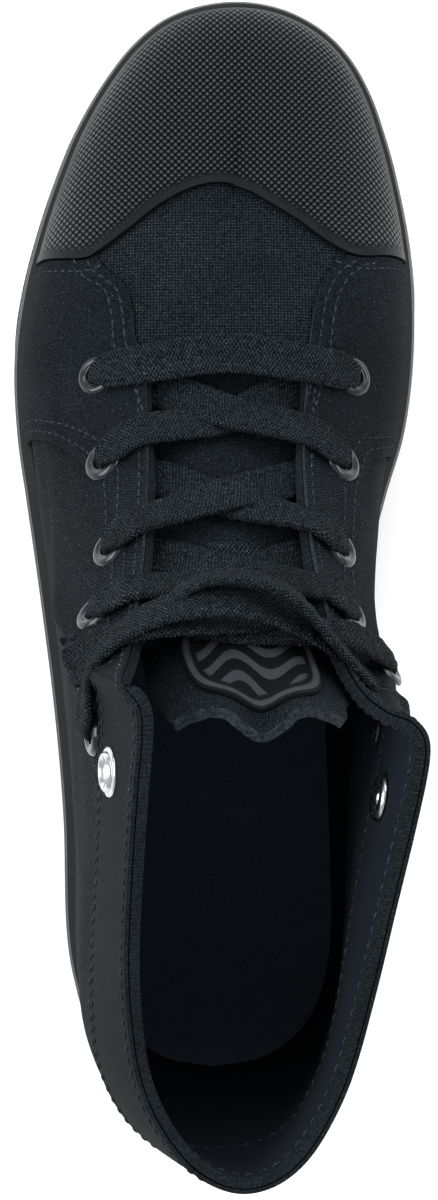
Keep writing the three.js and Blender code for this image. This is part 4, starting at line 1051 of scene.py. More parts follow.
Paint = dict[str, Material]
BLACK_THREAD = (0.0008, 0.0012, 0.0018)
FINISHES = (
    RubberFinish("gloss_rubber", (0.003, 0.004, 0.005), (0.006, 0.0075, 0.009), 0.27, 0.25, 0.4),
    RubberFinish("tread_rubber", (0.006, 0.0065, 0.008), (0.012, 0.013, 0.016), 0.6),
    # the knurled finishes' light tone is the painted highlight on the knurl's tops, their dark tone the
    # painted shade in its hollows
    RubberFinish("knurled_strip", (0.0015, 0.002, 0.003), (0.02, 0.024, 0.03), 0.35, 0.0, 0.45, 1.5, 0.0006),
    RubberFinish("knurled_cap", (0.001, 0.0014, 0.002), (0.026, 0.031, 0.038), 0.42, 0.0, 0.55, 1.62, 0.0008),
    # the cloth finishes' light tone is the painted light on the thread tops, their dark tone the painted
    # shade between threads
    ClothFinish("shaft_canvas", BLACK_THREAD, (0.032, 0.044, 0.054), Weave.BASKET, 0.6, lint=0.9),
    ClothFinish("vamp_canvas", BLACK_THREAD, (0.045, 0.064, 0.08), Weave.BASKET, 0.7, 0.0006),
    ClothFinish("facing_canvas", BLACK_THREAD, (0.03, 0.042, 0.054), Weave.BASKET, 0.5, lint=0.6),
    ClothFinish("band_cloth", (0.002, 0.003, 0.004), (0.02, 0.027, 0.033), Weave.KNIT, 0.4, 0.0001),
    ClothFinish("webbing", (0.0006, 0.001, 0.0015), (0.09, 0.12, 0.145), Weave.BRAID, 0.82, 0.002, pits=True),
    ClothFinish("thread", (0.006, 0.008, 0.01), (0.12, 0.15, 0.175), Weave.RIB, 0.25, 0.0001),
    FuzzFinish("lining_cloth", (0.006, 0.0085, 0.013), (0.011, 0.0155, 0.022)),
    FuzzFinish("liner_cloth", (0.045, 0.06, 0.08), (0.07, 0.09, 0.12)),
    FuzzFinish("raw_edge", (0.004, 0.0055, 0.007), (0.05, 0.062, 0.074), 0.0006),
    BadgeFinish("badge_weave", (0.0015, 0.002, 0.003), (0.045, 0.05, 0.056)),
    MetalFinish("black_enamel", (0.01, 0.012, 0.015), (0.03, 0.034, 0.04), 0.4, 0.09),
    MetalFinish("silver_plate", (0.4, 0.41, 0.43), (0.6, 0.61, 0.62), 1.0, 0.16),
    # painted shade for the openings of the socket's spring slots
    MetalFinish("slot_shade", (0.01, 0.01, 0.011), (0.02, 0.02, 0.022), 0.6, 0.4),
)


# Sole


@dataclass
class Sole:
    """The outsole, its side wall with the ribs, the knurled toe strip and the sock liner, in millimetres."""

    form: ShoeForm
    tread_depth: float = 1.8
    tread_rim: float = 7.0
    groove_width: float = 3.0
    groove_pitch: float = 9.0
    groove_spans: tuple[tuple[float, float], ...] = ((0.05, 0.28), (0.53, 0.93))
    rib_proud: float = 0.7
    bumper_wall: float = 1.3
    thin_wall: float = 0.25
    bumper_off: float = 0.3
    bumper_fade: float = 0.08
    bumper_bottom: float = 7.5
    bumper_top: float = 19.5
    bumper_ends: tuple[float, float] = (0.66, 0.68)
    grid_step: float = 0.75
    liner_step: float = 1.5

    def plate(self, inset: float, step: float) -> Patch:
        """Return a plan grid of triangles (across, along) of a step, cut to the outline moved inwards."""
        sizes = self.form.sizes
        stations = np.linspace(-1, 1, 721)
        edge, _ = self.form.outline(stations, inset)
        outer, inner = edge[stations <= 0], edge[stations >= 0]
        outer = outer[np.argsort(outer[:, 1])]
        inner = inner[np.argsort(inner[:, 1])]
        along = np.arange(inset, sizes.sole_length - inset + 0.01, step)
        shares = np.linspace(0, 1, round(0.55 * sizes.ball_width / step))
        low = np.interp(along, outer[:, 1], outer[:, 0])
        high = np.interp(along, inner[:, 1], inner[:, 0])
        patch = Patch.over(along, shares)
        row = np.searchsorted(along, patch.places[:, 0] - 1e-6)
        across = low[row] + (high - low)[row] * patch.places[:, 1]
        return Patch(np.stack([across, patch.places[:, 0]], -1), patch.faces[:, ::-1])

    def slab(self, inset: float, step: float, bottom: Measure, top: Measure) -> Build:
        """Close a plate between two heights, each a function of the places in plan."""
        plate = self.plate(inset, step)
        places, faces = plate.places, plate.faces
        upper = np.column_stack([places, top(places)])
        lower = np.column_stack([places, bottom(places)])
        return facing_out(closed_between(upper, lower, faces, places[faces]))

    def edge_distance(self, places: Array) -> Array:
        """Return how far inside the sole's outline places in plan lie, from its nearest sampled points."""
        edge, _ = self.form.outline(np.linspace(-1, 1, 241)[:-1])
        nearest = np.full(len(places), np.inf)
        for point in edge:
            nearest = np.minimum(nearest, np.hypot(places[:, 0] - point[0], places[:, 1] - point[1]))
        return nearest

    def tread(self, places: Array) -> Array:
        """Return the underside's height: cross grooves (1 - (2d / w)^4) deep, inside a plain rim."""
        depth = np.zeros(len(places))
        for start, end in np.array(self.groove_spans) * self.form.sizes.sole_length:
            for index in range(int((end - start) // self.groove_pitch)):
                middle = start + index * self.groove_pitch + self.groove_width / 2
                away = np.abs(places[:, 1] - middle) * 2 / self.groove_width
                depth = np.maximum(depth, np.clip(1 - away**4, 0, 1))
        inside = smoothstep(self.tread_rim - 0.5, self.tread_rim + 0.5, self.edge_distance(places))
        return self.form.floor_rise(places[:, 1]) + self.tread_depth * depth * inside

    def ring(self, section: Array, stations: Array, closed: bool) -> Build:
        """Sweep a section of (inset, height) along the outline's stations.

        Args:
            section: points of the section for each station, or one section for all.
            stations: places on the outline, up to one turn.
            closed: whether the strip meets itself.

        Returns:
            The closed strip.
        """
        section = np.broadcast_to(section, (len(stations), *section.shape[-2:]))
        plan, _ = self.form.outline(stations[:, None] + np.zeros(section.shape[:2]), section[..., 0])
        height = self.form.floor_rise(plan[..., 1]) + section[..., 1]
        return facing_out(swept(np.concatenate([plan, height[..., None]], -1), closed))

    def foxing_section(self) -> Array:
        """Return the side wall's section: a wall with a foot bead, a shallow groove line and two top ribs.

        The outside stands out by a sum of raised cosine beads, each proud * (1 + cos(pi d / w)) / 2.
        """
        sizes = self.form.sizes
        bottom = sizes.outsole_thickness + sizes.clearance
        top = sizes.foxing_height - sizes.clearance
        height = np.linspace(bottom, top, 64)
        proud = np.zeros_like(height)
        for middle, half, amount in (
            (top - 1.15, 1.15, self.rib_proud), (top - 3.4, 0.95, self.rib_proud * 0.8),
            (bottom + 0.7, 0.9, 0.45), (bottom + 12.9, 0.4, -0.25),
        ):
            away = np.clip(np.abs(height - middle) / half, 0, 1)
            proud = proud + amount * (1 + np.cos(np.pi * away)) / 2
        outside = np.stack([-proud, height], -1)
        inside = np.array([[sizes.foxing_wall, top], [sizes.foxing_wall, bottom]])
        return np.vstack([outside, inside])

    def bumper(self) -> Build:
        """Return the toe strip: its wall thins to nothing at both ends, and its edges are rounded."""
        outer_end, inner_end = self.bumper_ends
        stations = np.linspace(inner_end, 2 - outer_end, 420)
        share = np.where(stations > 1, 2 - stations, stations)
        end = np.where(stations > 1, outer_end, inner_end)
        full = smoothstep(0.0, self.bumper_fade, share - end)
        wall = self.thin_wall + (self.bumper_wall - self.thin_wall) * full
        angle = np.linspace(0, np.pi, 13)
        half = (self.bumper_top - self.bumper_bottom) / 2
        middle = (self.bumper_top + self.bumper_bottom) / 2
        level = np.concatenate([
            [self.bumper_top, self.bumper_top],
            middle + half * signed_power(np.cos(angle), 0.35),
            [self.bumper_bottom],
        ])
        bulge = np.sin(angle) ** 0.3
        inset = np.zeros((len(stations), len(level)))
        inset[:, 1:-1] = -self.bumper_off - wall[:, None] * np.concatenate([[0.0], bulge])
        section = np.stack([inset, np.broadcast_to(level, inset.shape)], -1)
        strip = self.ring(section, stations, False)
        strip.relief = np.ones(len(strip.points))
        return strip

    def liner_top(self, places: Array) -> Array:
        """Return the sock liner's top: a rim turned up by 2.2 e^(-d / 4), and a hollow at the heel."""
        sizes = self.form.sizes
        base = sizes.outsole_thickness + sizes.clearance + sizes.insole_thickness
        rim = 2.2 * np.exp(-np.maximum(self.edge_distance(places) - 5.0, 0) / 4.0)
        heel = -0.9 * np.exp(-(((places[:, 1] - 38) / 26) ** 2) - ((places[:, 0] / 17) ** 2))
        return self.form.floor_rise(places[:, 1]) + base + rim + heel

    def build(self, paint: Paint) -> None:
        """Make the pieces of the sole."""
        sizes = self.form.sizes
        rise = self.form.floor_rise
        thick = sizes.outsole_thickness
        outsole = self.slab(0.0, self.grid_step, self.tread, lambda places: rise(places[:, 1]) + thick)
        wall = self.ring(self.foxing_section(), np.linspace(-1, 1, 600, endpoint=False), True)
        inset = sizes.foxing_wall + sizes.upper_wall + 2 * sizes.clearance
        bottom = thick + sizes.clearance
        liner = self.slab(inset, self.liner_step, lambda places: rise(places[:, 1]) + bottom, self.liner_top)
        make_piece("outsole_tread", outsole, [paint["tread_rubber"]], ["outsole"])
        make_piece("side_wall", wall, [paint["gloss_rubber"]], ["foxing"])
        make_piece("toe_strip", self.bumper(), [paint["knurled_strip"]], ["toe_bumper"])
        make_piece("sock_liner", liner, [paint["liner_cloth"]], ["insole"])


# Upper

# Cut lines of the overlays, as shares of the sizes. The cap's rear edge has along at each across, the vamp's
# edges have across at each along, the seams have along at each height, and the collar's edge has height at
# each along.
CAP_EDGE_ROWS = (
    (-0.6, 0.765), (-0.409, 0.765), (-0.35, 0.7615), (-0.314, 0.76), (-0.289, 0.762), (-0.209, 0.783),
    (-0.14, 0.804), (-0.061, 0.82), (0.01, 0.825), (0.07, 0.818), (0.12, 0.807), (0.184, 0.792),
    (0.242, 0.776), (0.297, 0.765), (0.335, 0.763), (0.412, 0.768), (0.6, 0.772),
)
VAMP_ROWS = {
    Side.OUTER: (
        (0.5, 0.0), (0.6, -0.1), (0.64, -0.14), (0.668, -0.165), (0.687, -0.191), (0.71, -0.199),
        (0.733, -0.216), (0.745, -0.247), (0.752, -0.268), (0.762, -0.285), (0.8, -0.36),
    ),
    Side.INNER: (
        (0.5, 0.04), (0.6, 0.14), (0.64, 0.18), (0.668, 0.2), (0.684, 0.208), (0.719, 0.224),
        (0.744, 0.251), (0.756, 0.279), (0.762, 0.3), (0.8, 0.38),
    ),
}
SEAM_ROWS = {
    Side.OUTER: (
        (0.1, 0.6), (0.3, 0.603), (0.42, 0.574), (0.52, 0.511), (0.59, 0.478), (0.66, 0.433),
        (0.715, 0.378), (0.745, 0.32),
    ),
    Side.INNER: (
        (0.1, 0.59), (0.36, 0.585), (0.42, 0.556), (0.475, 0.518), (0.54, 0.478), (0.6, 0.433),
        (0.645, 0.378), (0.69, 0.32),
    ),
}
COLLAR_ROWS = {
    Side.OUTER: ((-0.05, 0.855), (0.035, 0.861), (0.134, 0.883), (0.264, 0.936), (0.38, 0.985), (0.6, 1.08)),
    Side.INNER: ((-0.05, 0.855), (0.035, 0.861), (0.134, 0.882), (0.243, 0.917), (0.38, 0.948), (0.6, 1.01)),
}


class EdgeCurve:
    """A cut line in one view: the place along one axis as a smooth function of the other."""

    def __init__(self, rows: Sequence[Sequence[float]], read_axis: int, found_axis: int,
                 scale: Array) -> None:
        """Read a cut line's table.

        Args:
            rows: pairs of shares, the place read first.
            read_axis: the axis that the table is read at.
            found_axis: the axis of the values found.
            scale: the sizes that the shares are taken of.
        """
        self.table = SmoothTable(rows)
        self.axes = read_axis, found_axis
        self.sizes = scale[[read_axis, found_axis]]

    def distance(self, points: Array) -> Array:
        """Return the signed distance from the line, (p - f(q)) / sqrt(1 + f'(q)^2), in millimetres."""
        read, found = (points[..., axis] for axis in self.axes)
        read_size, found_size = self.sizes
        asked = read / read_size
        step = 0.002
        value = self.table.column(asked) * found_size
        ahead = (self.table.column(asked + step) - self.table.column(asked - step)) * found_size
        slope = ahead / (2 * step * read_size)
        return (found - value) / np.sqrt(1 + slope**2)


class CutLines:
    """The edges of the overlays, each as a signed distance over the upper's surface."""

    def __init__(self, form: ShoeForm) -> None:
        """Read the tables of the cut lines; the axes are 0 across, 1 along and 2 up."""
        self.form = form
        scale = form.sizes.scale
        self.cap_curve = EdgeCurve(CAP_EDGE_ROWS, 0, 1, scale)
        self.vamp_curves = {side: EdgeCurve(VAMP_ROWS[side], 1, 0, scale) for side in Side}
        self.seam_curves = {side: EdgeCurve(SEAM_ROWS[side], 2, 1, scale) for side in Side}
        self.collar_curves = {side: EdgeCurve(COLLAR_ROWS[side], 1, 2, scale) for side in Side}

    def points(self, places: Array) -> Array:
        """Return the surface's points at places of a patch."""
        return self.form.point(places[:, 0], places[:, 1])

    def cap(self, places: Array) -> Array:
        """Return the distance into the toe cap from its rear edge."""
        return self.cap_curve.distance(self.points(places))

    def vamp(self, places: Array, side: Side) -> Array:
        """Return the distance from the bare vamp's edge into the facing of one side."""
        return side.value * self.vamp_curves[side].distance(self.points(places))

    def seam(self, places: Array, side: Side) -> Array:
        """Return the distance in front of a facing's rear seam."""
        return self.seam_curves[side].distance(self.points(places))

    def band(self, places: Array) -> Array:
        """Return the height above the collar band's lower edge."""
        points = self.points(places)
        outer, inner = (self.collar_curves[side].distance(points) for side in Side)
        mixed = smoothstep(-0.03, 0.03, places[:, 0])
        return outer * (1 - mixed) + inner * mixed + self.form.sizes.band_height

    def collar(self, places: Array) -> Array:
        """Return the distance below the upper's own edge, measured up the ribs."""
        points = self.points(places)
        edge = self.form.point(places[:, 0], np.ones(len(places)))
        return np.linalg.norm(points - edge, axis=1)


@dataclass(frozen=True)
class Disc:
    """A place on the upper where a round fastener sits: its middle, its outward axis and two axes across."""

    middle: Array
    axis: Array
    across: Array
    along: Array

    @classmethod
    def at(cls, form: ShoeForm, station: float, share: float, span: float = 0.02) -> Disc:
        """Find a disc on the form."""
        axis = form.normal(station, share, span)
        across = unit(np.cross(axis, [0.0, 0.0, 1.0]))
        return cls(form.point(station, share), axis, across, np.cross(axis, across))

    def radius_of(self, points: Array) -> Array:
        """Return how far points lie from the disc's axis, and far where they lie well off its plane."""
        away = points - self.middle
        height = away @ self.axis
        radius = np.linalg.norm(away - height[:, None] * self.axis, axis=1)
        return np.where(np.abs(height) < 8.0, radius, FAR)

    def aside(self, point: Array) -> Array:
        """Return the direction from the disc's axis towards a point, at right angles to the axis."""
        away = point - self.middle
        return unit(away - (away @ self.axis) * self.axis)

    def turned(self, profile: Sequence[tuple[float, float]], segments: int) -> Build:
        """Turn a closed profile of (radius, height) points about the axis."""
        outline = np.asarray(profile, dtype=float)
        angle = full_turn(segments)
        spoke = np.cos(angle)[:, None] * self.across + np.sin(angle)[:, None] * self.along
        rings = self.middle + outline[None, :, :1] * spoke[:, None] + outline[None, :, 1:] * self.axis
        return facing_out(swept(rings, True))


def with_poles_closed(build: Build) -> Build:
    """Split the quads of a turned piece, join the points that meet at its poles and drop the flat faces."""
    faces = np.vstack([np.vstack([part[:, [0, 1, 2]], part[:, [0, 2, 3]]]) for part in build.faces])
    uv = np.vstack([np.vstack([part[:, [0, 1, 2]], part[:, [0, 2, 3]]]) for part in build.corner_uv])
    finish = np.concatenate([np.concatenate([part, part]) for part in build.finish])
    points, joined, kept = welded(build.points, faces)
    return Build(points, [joined], [uv[kept]], [finish[kept]])


# Places of the eyelets from the toe up, as shares: along, height on the outer side, height on the inner side.
EYELET_ROWS = (
    (0.656, 0.36, 0.355), (0.5785, 0.442, 0.438), (0.504, 0.555, 0.545), (0.451, 0.635, 0.62),
    (0.408, 0.705, 0.68), (0.362, 0.75, 0.72),
)
STUD_PLACES = {Side.OUTER: (0.337, 0.847), Side.INNER: (0.315, 0.82)}


@dataclass
class Hardware:
    """The metal eyelets of the lace and the press studs of the two flaps."""

    form: ShoeForm
    flange_radius: float = 4.7
    hole_radius: float = 2.3
    barrel_wall: float = 0.5
    seat: float = 1.15
    stud_radius: float = 5.0
    post_radius: float = 1.8
    post_gap: float = 0.3
    washer_rim: float = 1.0
    ring_segments: int = 48
    stud_segments: int = 56
    eyelets: dict[Side, list[Disc]] = field(default_factory=dict)
    studs: dict[Side, Disc] = field(default_factory=dict)

    def __post_init__(self) -> None:
        """Find the places of the eyelets and studs."""
        for column, side in enumerate(Side, start=1):
            places = [*((row[0], row[column]) for row in EYELET_ROWS), STUD_PLACES[side]]
            discs = [Disc.at(self.form, *self.form.place_at(side, *place)) for place in places]
            self.eyelets[side], self.studs[side] = discs[:-1], discs[-1]

    def hole_distance(self, points: Array) -> Array:
        """Return how far points lie outside the nearest hole's wall."""
        nearest = np.full(len(points), FAR)
        for side in Side:
            for disc in self.eyelets[side]:
                nearest = np.minimum(nearest, disc.radius_of(points) - self.hole_radius - self.barrel_wall)
            post = self.studs[side].radius_of(points) - self.post_radius - self.post_gap
            nearest = np.minimum(nearest, post)
        return nearest

    def eyelet(self, disc: Disc) -> Build:
        """Return one eyelet: a rounded flange, a barrel through the cloth and a rolled washer inside.

        The flange's top follows h = seat + 0.95 sin(pi s)^0.6 across its width.
        """
        share = np.linspace(0, 1, 14)
        radius = self.flange_radius + (self.hole_radius - self.flange_radius) * share
        height = self.seat + 0.95 * np.sin(np.pi * np.clip(share, 0, 0.86)) ** 0.6
        inside = -self.form.sizes.upper_wall - 0.75
        outer_barrel = self.hole_radius + self.barrel_wall
        profile = list(zip(radius, height))
        washer = outer_barrel + self.washer_rim
        profile += [
            (self.hole_radius, inside), (washer - 0.1, inside), (washer, inside + 0.35),
            (outer_barrel, inside + 0.45), (outer_barrel, self.seat - 0.05),
        ]
        return disc.turned(profile, self.ring_segments)

    def stud(self, disc: Disc, side: Side) -> Build:
        """Return one press stud: a socket with a ring and slots, or an eyelet back with a domed middle.

        The socket shows on the outside of the outer flap, and the domed ring on the inside of the inner one.
        """
        seat = -self.form.sizes.upper_wall - 0.35
        radius, post = self.stud_radius, self.post_radius
        socket = [
            (0.0, 2.0), (1.5, 2.0), (1.75, 1.75), (1.9, 1.35), (2.6, 1.3), (2.8, 2.15), (3.1, 2.5),
            (3.5, 2.55), (3.85, 2.3), (4.0, 1.75), (4.5, 1.7), (4.85, 1.55), (radius, 1.3), (radius, 1.15),
            (post, 1.15),
        ]
        ring = [
            (post, seat), (radius, seat), (radius, seat - 0.25), (4.7, seat - 0.75), (4.0, seat - 1.1),
            (3.2, seat - 1.0), (2.7, seat - 0.6), (2.3, seat - 0.6), (2.1, seat - 1.0), (1.4, seat - 1.45),
            (0.7, seat - 1.65), (0.0, seat - 1.7),
        ]
        if side is Side.OUTER:
            profile = socket + [(post, seat), (4.2, seat), (4.0, seat - 0.8), (0.0, seat - 1.2)]
        else:
            front = [(0.0, 2.1), (2.0, 2.0), (3.9, 1.7), (radius, 1.35), (radius, 1.15), (post, 1.15)]
            profile = front + ring
        return facing_out(with_poles_closed(disc.turned(profile, self.stud_segments)))

    def slots(self, disc: Disc) -> Build:
        """Return two dark rounded bars laid over the socket's crown where its spring slots are: painted shade
        standing in for the shadowed slot openings.
        """
        angle = full_turn(12)
        reach = np.linspace(-1.35, 1.35, 9)
        width = 0.28 * np.sqrt(np.clip(1 - (reach / 1.4) ** 2, 0.02, 1))
        level = disc.middle + (1.62 + 0.12 * np.sin(angle))[None, :, None] * disc.axis
        bars = []
        for middle in (-2.2, 2.2):
            across = (middle + width[:, None, None] * np.cos(angle)[None, :, None]) * disc.across
            bars.append(facing_out(swept(level + reach[:, None, None] * disc.along + across, False)))
        return Build.joined(bars)

    def build(self, paint: Paint) -> None:
        """Make the eyelets and the studs."""
        enamel, silver, dark = (paint[name] for name in ("black_enamel", "silver_plate", "slot_shade"))
        for side in Side:
            for index, disc in enumerate(self.eyelets[side], start=1):
                place = f"{side.word}_{index}"
                make_piece(f"ring_{place}", self.eyelet(disc), [enamel], [f"eyelet_{place}"])
            stud = self.stud(self.studs[side], side)
            make_piece(f"snap_{side.word}", stud, [silver], [f"stud_{side.word}"])
        # the dark bars are painted shade for the openings of the socket's spring slots
        make_piece("snap_slots", self.slots(self.studs[Side.OUTER]), [dark])


@dataclass
class ClothUpper:
    """The upper with its overlays: toe cap, two facings and the collar band."""

    form: ShoeForm
    lines: CutLines
    hardware: Hardware
    cap_thickness: float = 1.3
    lip_proud: float = 0.12
    lip_width: float = 2.4
    vamp_station: float = 0.68
    rib_length: float = 115.0
    overlay_foot: float = 0.165
    fine_step: float = 0.0025

    def surface(self, patch: Patch) -> Array:
        """Return a patch's points, with the cloth's soft creases pushed out along the normals."""
        station, share = patch.places.T
        points = self.form.point(station, share)
        depth = self.form.creases(station, share)
        moved = np.abs(depth) > 0.01
        points[moved] += depth[moved, None] * self.form.normal(station[moved], share[moved])
        return points

    def cloth_uv(self, patch: Patch, points: Array, plan: bool) -> Array:
        """Return UV numbers in millimetres.

        On the vamp and the cap they are the place in plan, drawn out from the toe's top by
        sqrt(r^2 + drop^2) / r so that the steep sides aren't stretched. Elsewhere the first runs along the
        sole's outline, and the second is the rib share times a rib's length.
        """
        if plan:
            sizes = self.form.sizes
            middle = np.array([0.02 * sizes.ball_width, 0.8 * sizes.sole_length])
            away = points[:, :2] - middle
            reach = np.linalg.norm(away, axis=1)
            drop = np.clip(0.33 * sizes.shaft_height - points[:, 2], 0.0, None)
            drop *= smoothstep(4.0, 20.0, reach)
            return middle + away * (np.sqrt(reach**2 + drop**2) / np.maximum(reach, 1.0))[:, None]
        grid = np.linspace(-1, 1, 801)
        edge, _ = self.form.outline(grid)
        station, share = patch.places.T
        return np.stack([np.interp(station, grid, travel_along(edge)), share * self.rib_length], -1)

    def sheet(self, patch: Patch, inner: float, outer: float, plan: bool = False,
              finishes: tuple[int, int, int] = (0, 0, 0), lift: Measure | None = None,
              relief: Measure | None = None) -> Build:
        """Close a patch between two distances from the form, the outer one raised where a lift is given."""
        points = self.surface(patch)
        uv = self.cloth_uv(patch, points + point_normals(points, patch.faces) * outer, plan)
        raised = outer + (lift(patch.places) if lift else 0.0)
        shown = relief(patch.places) if relief else None
        return shell(points, patch.faces, uv, inner, raised, finishes, shown)

    def hole(self, places: Array) -> Array:
        """Return the distance outside the fasteners' holes at places of a patch."""
        return self.hardware.hole_distance(self.lines.points(places))

    def upper(self) -> Build:
        """Return the hollow upper; the shaft's cloth changes to the vamp's under the facings."""
        wall = self.form.sizes.wall_share
        shares = np.concatenate([np.linspace(0, wall, 5)[:-1], np.linspace(wall, 1, 84)])
        patch = Patch.over(even_steps(-1, 1, 0.005), shares).clipped(self.hole)
        points = self.surface(patch)
        plan = self.cloth_uv(patch, points, True)
        around = self.cloth_uv(patch, points, False)
        middle = np.abs(patch.places[patch.faces, 0]).mean(1)
        build = shell(points, patch.faces, around, -self.form.sizes.upper_wall, 0.0, (0, 2, 3))
        _, _, kept = welded(points, patch.faces)
        front = (middle > self.vamp_station)[kept]
        faces = patch.faces[kept]
        build.corner_uv[0] = np.where(front[:, None, None], plan[faces], around[faces])
        build.finish[0] = np.where(front, 1, 0)
        return build

    def lip(self, places: Array) -> Array:
        """Return the toe cap's raised lip: proud * sin(pi d / w)^0.7 over its width from the rear edge."""
        away = np.clip(self.lines.cap(places) / self.lip_width, 0.12, 1.0)
        return self.lip_proud * np.sin(np.pi * away) ** 0.7

    def cap_relief(self, places: Array) -> Array:
        """Return where the cap is knurled: inside a plain border at its rear edge and above the side wall."""
        rear = smoothstep(self.lip_width * 0.4, self.lip_width * 1.5, self.lines.cap(places))
        return rear * smoothstep(0.22, 0.34, places[:, 1])

    def cap_patch(self) -> Patch:
        """Return the toe cap's patch, front of its rear edge."""
        patch = Patch.over(np.linspace(0.74, 1.26, 261), np.linspace(self.overlay_foot, 1, 120))
        return patch.clipped(lambda places: self.lines.cap(self.wrapped(places)))

    @staticmethod
    def wrapped(places: Array) -> Array:
        """Return places with their stations brought back between -1 and 1."""
        return np.stack([within_turn(places[:, 0]), places[:, 1]], -1)

    def facing_patch(self, side: Side) -> Patch:
        """Return one facing's patch, cut by its seam, the band, the cap, the vamp's opening and the holes."""
        low, high = sorted((side.value * 0.3, side.value * 0.86))
        gap = self.form.sizes.overlay_gap
        patch = Patch.over(even_steps(low, high, self.fine_step), np.linspace(self.overlay_foot, 1, 150))
        for measure in (
            lambda places: self.lines.seam(places, side),
            lambda places: -self.lines.band(places) - gap,
            lambda places: -self.lines.cap(places) - gap,
            lambda places: self.lines.vamp(places, side),
            self.hole,
        ):
            patch = patch.clipped(measure)
        return patch

    def band_patch(self) -> Patch:
        """Return the collar band's patch, from its lower edge to the collar."""
        patch = Patch.over(even_steps(-0.56, 0.57, self.fine_step), np.linspace(0.5, 1, 60))
        return patch.clipped(self.lines.band).clipped(self.hole)

    def build(self, paint: Paint) -> None:
        """Make the upper and its overlays."""
        near = self.form.sizes.clearance
        over = near + self.form.sizes.overlay_thickness
        cloths = [paint[name] for name in ("shaft_canvas", "vamp_canvas", "lining_cloth", "band_cloth")]
        make_piece("canvas_upper", self.upper(), cloths, ["upper"])
        cap = self.sheet(
            self.cap_patch(), near, near + self.cap_thickness, True,
            lift=lambda places: self.lip(self.wrapped(places)),
            relief=lambda places: self.cap_relief(self.wrapped(places)),
        )
        make_piece("knurled_cap", cap, [paint["knurled_cap"]], ["toe_cap"], SOFT_CREASE)
        facing = [paint["facing_canvas"], paint["raw_edge"]]
        for side in Side:
            sheet = self.sheet(self.facing_patch(side), near, over, finishes=(0, 0, 1))
            make_piece(f"facing_{side.word}", sheet, facing, [f"eyestay_{side.word}"])
        band = self.sheet(self.band_patch(), near, over)
        make_piece("collar_strip", band, [paint["band_cloth"]], ["collar_band"])


# Tongue

# Middle line of the tongue above each station: across, along, height and half width, and then the drop at the
# sides and the dent as shares of the half width.
TONGUE_ROWS = (
    (0, 0.022, 0.739, 0.352, 0.165, 0.16, 0), (0.1, 0.021, 0.694, 0.374, 0.19, 0.2, 0),
    (0.2, 0.019, 0.651, 0.392, 0.2, 0.26, 0), (0.3, 0.017, 0.613, 0.432, 0.2, 0.3, 0),
    (0.42, 0.016, 0.563, 0.501, 0.2, 0.3, 0), (0.56, 0.016, 0.5095, 0.584, 0.205, 0.3, 0),
    (0.7, 0.021, 0.4615, 0.672, 0.21, 0.3, 0), (0.82, 0.036, 0.429, 0.766, 0.205, 0.3, 0),
    (0.92, 0.052, 0.408, 0.858, 0.2, 0.32, 0.12), (1, 0.062, 0.389, 0.953, 0.215, 0.34, 0.3),
)


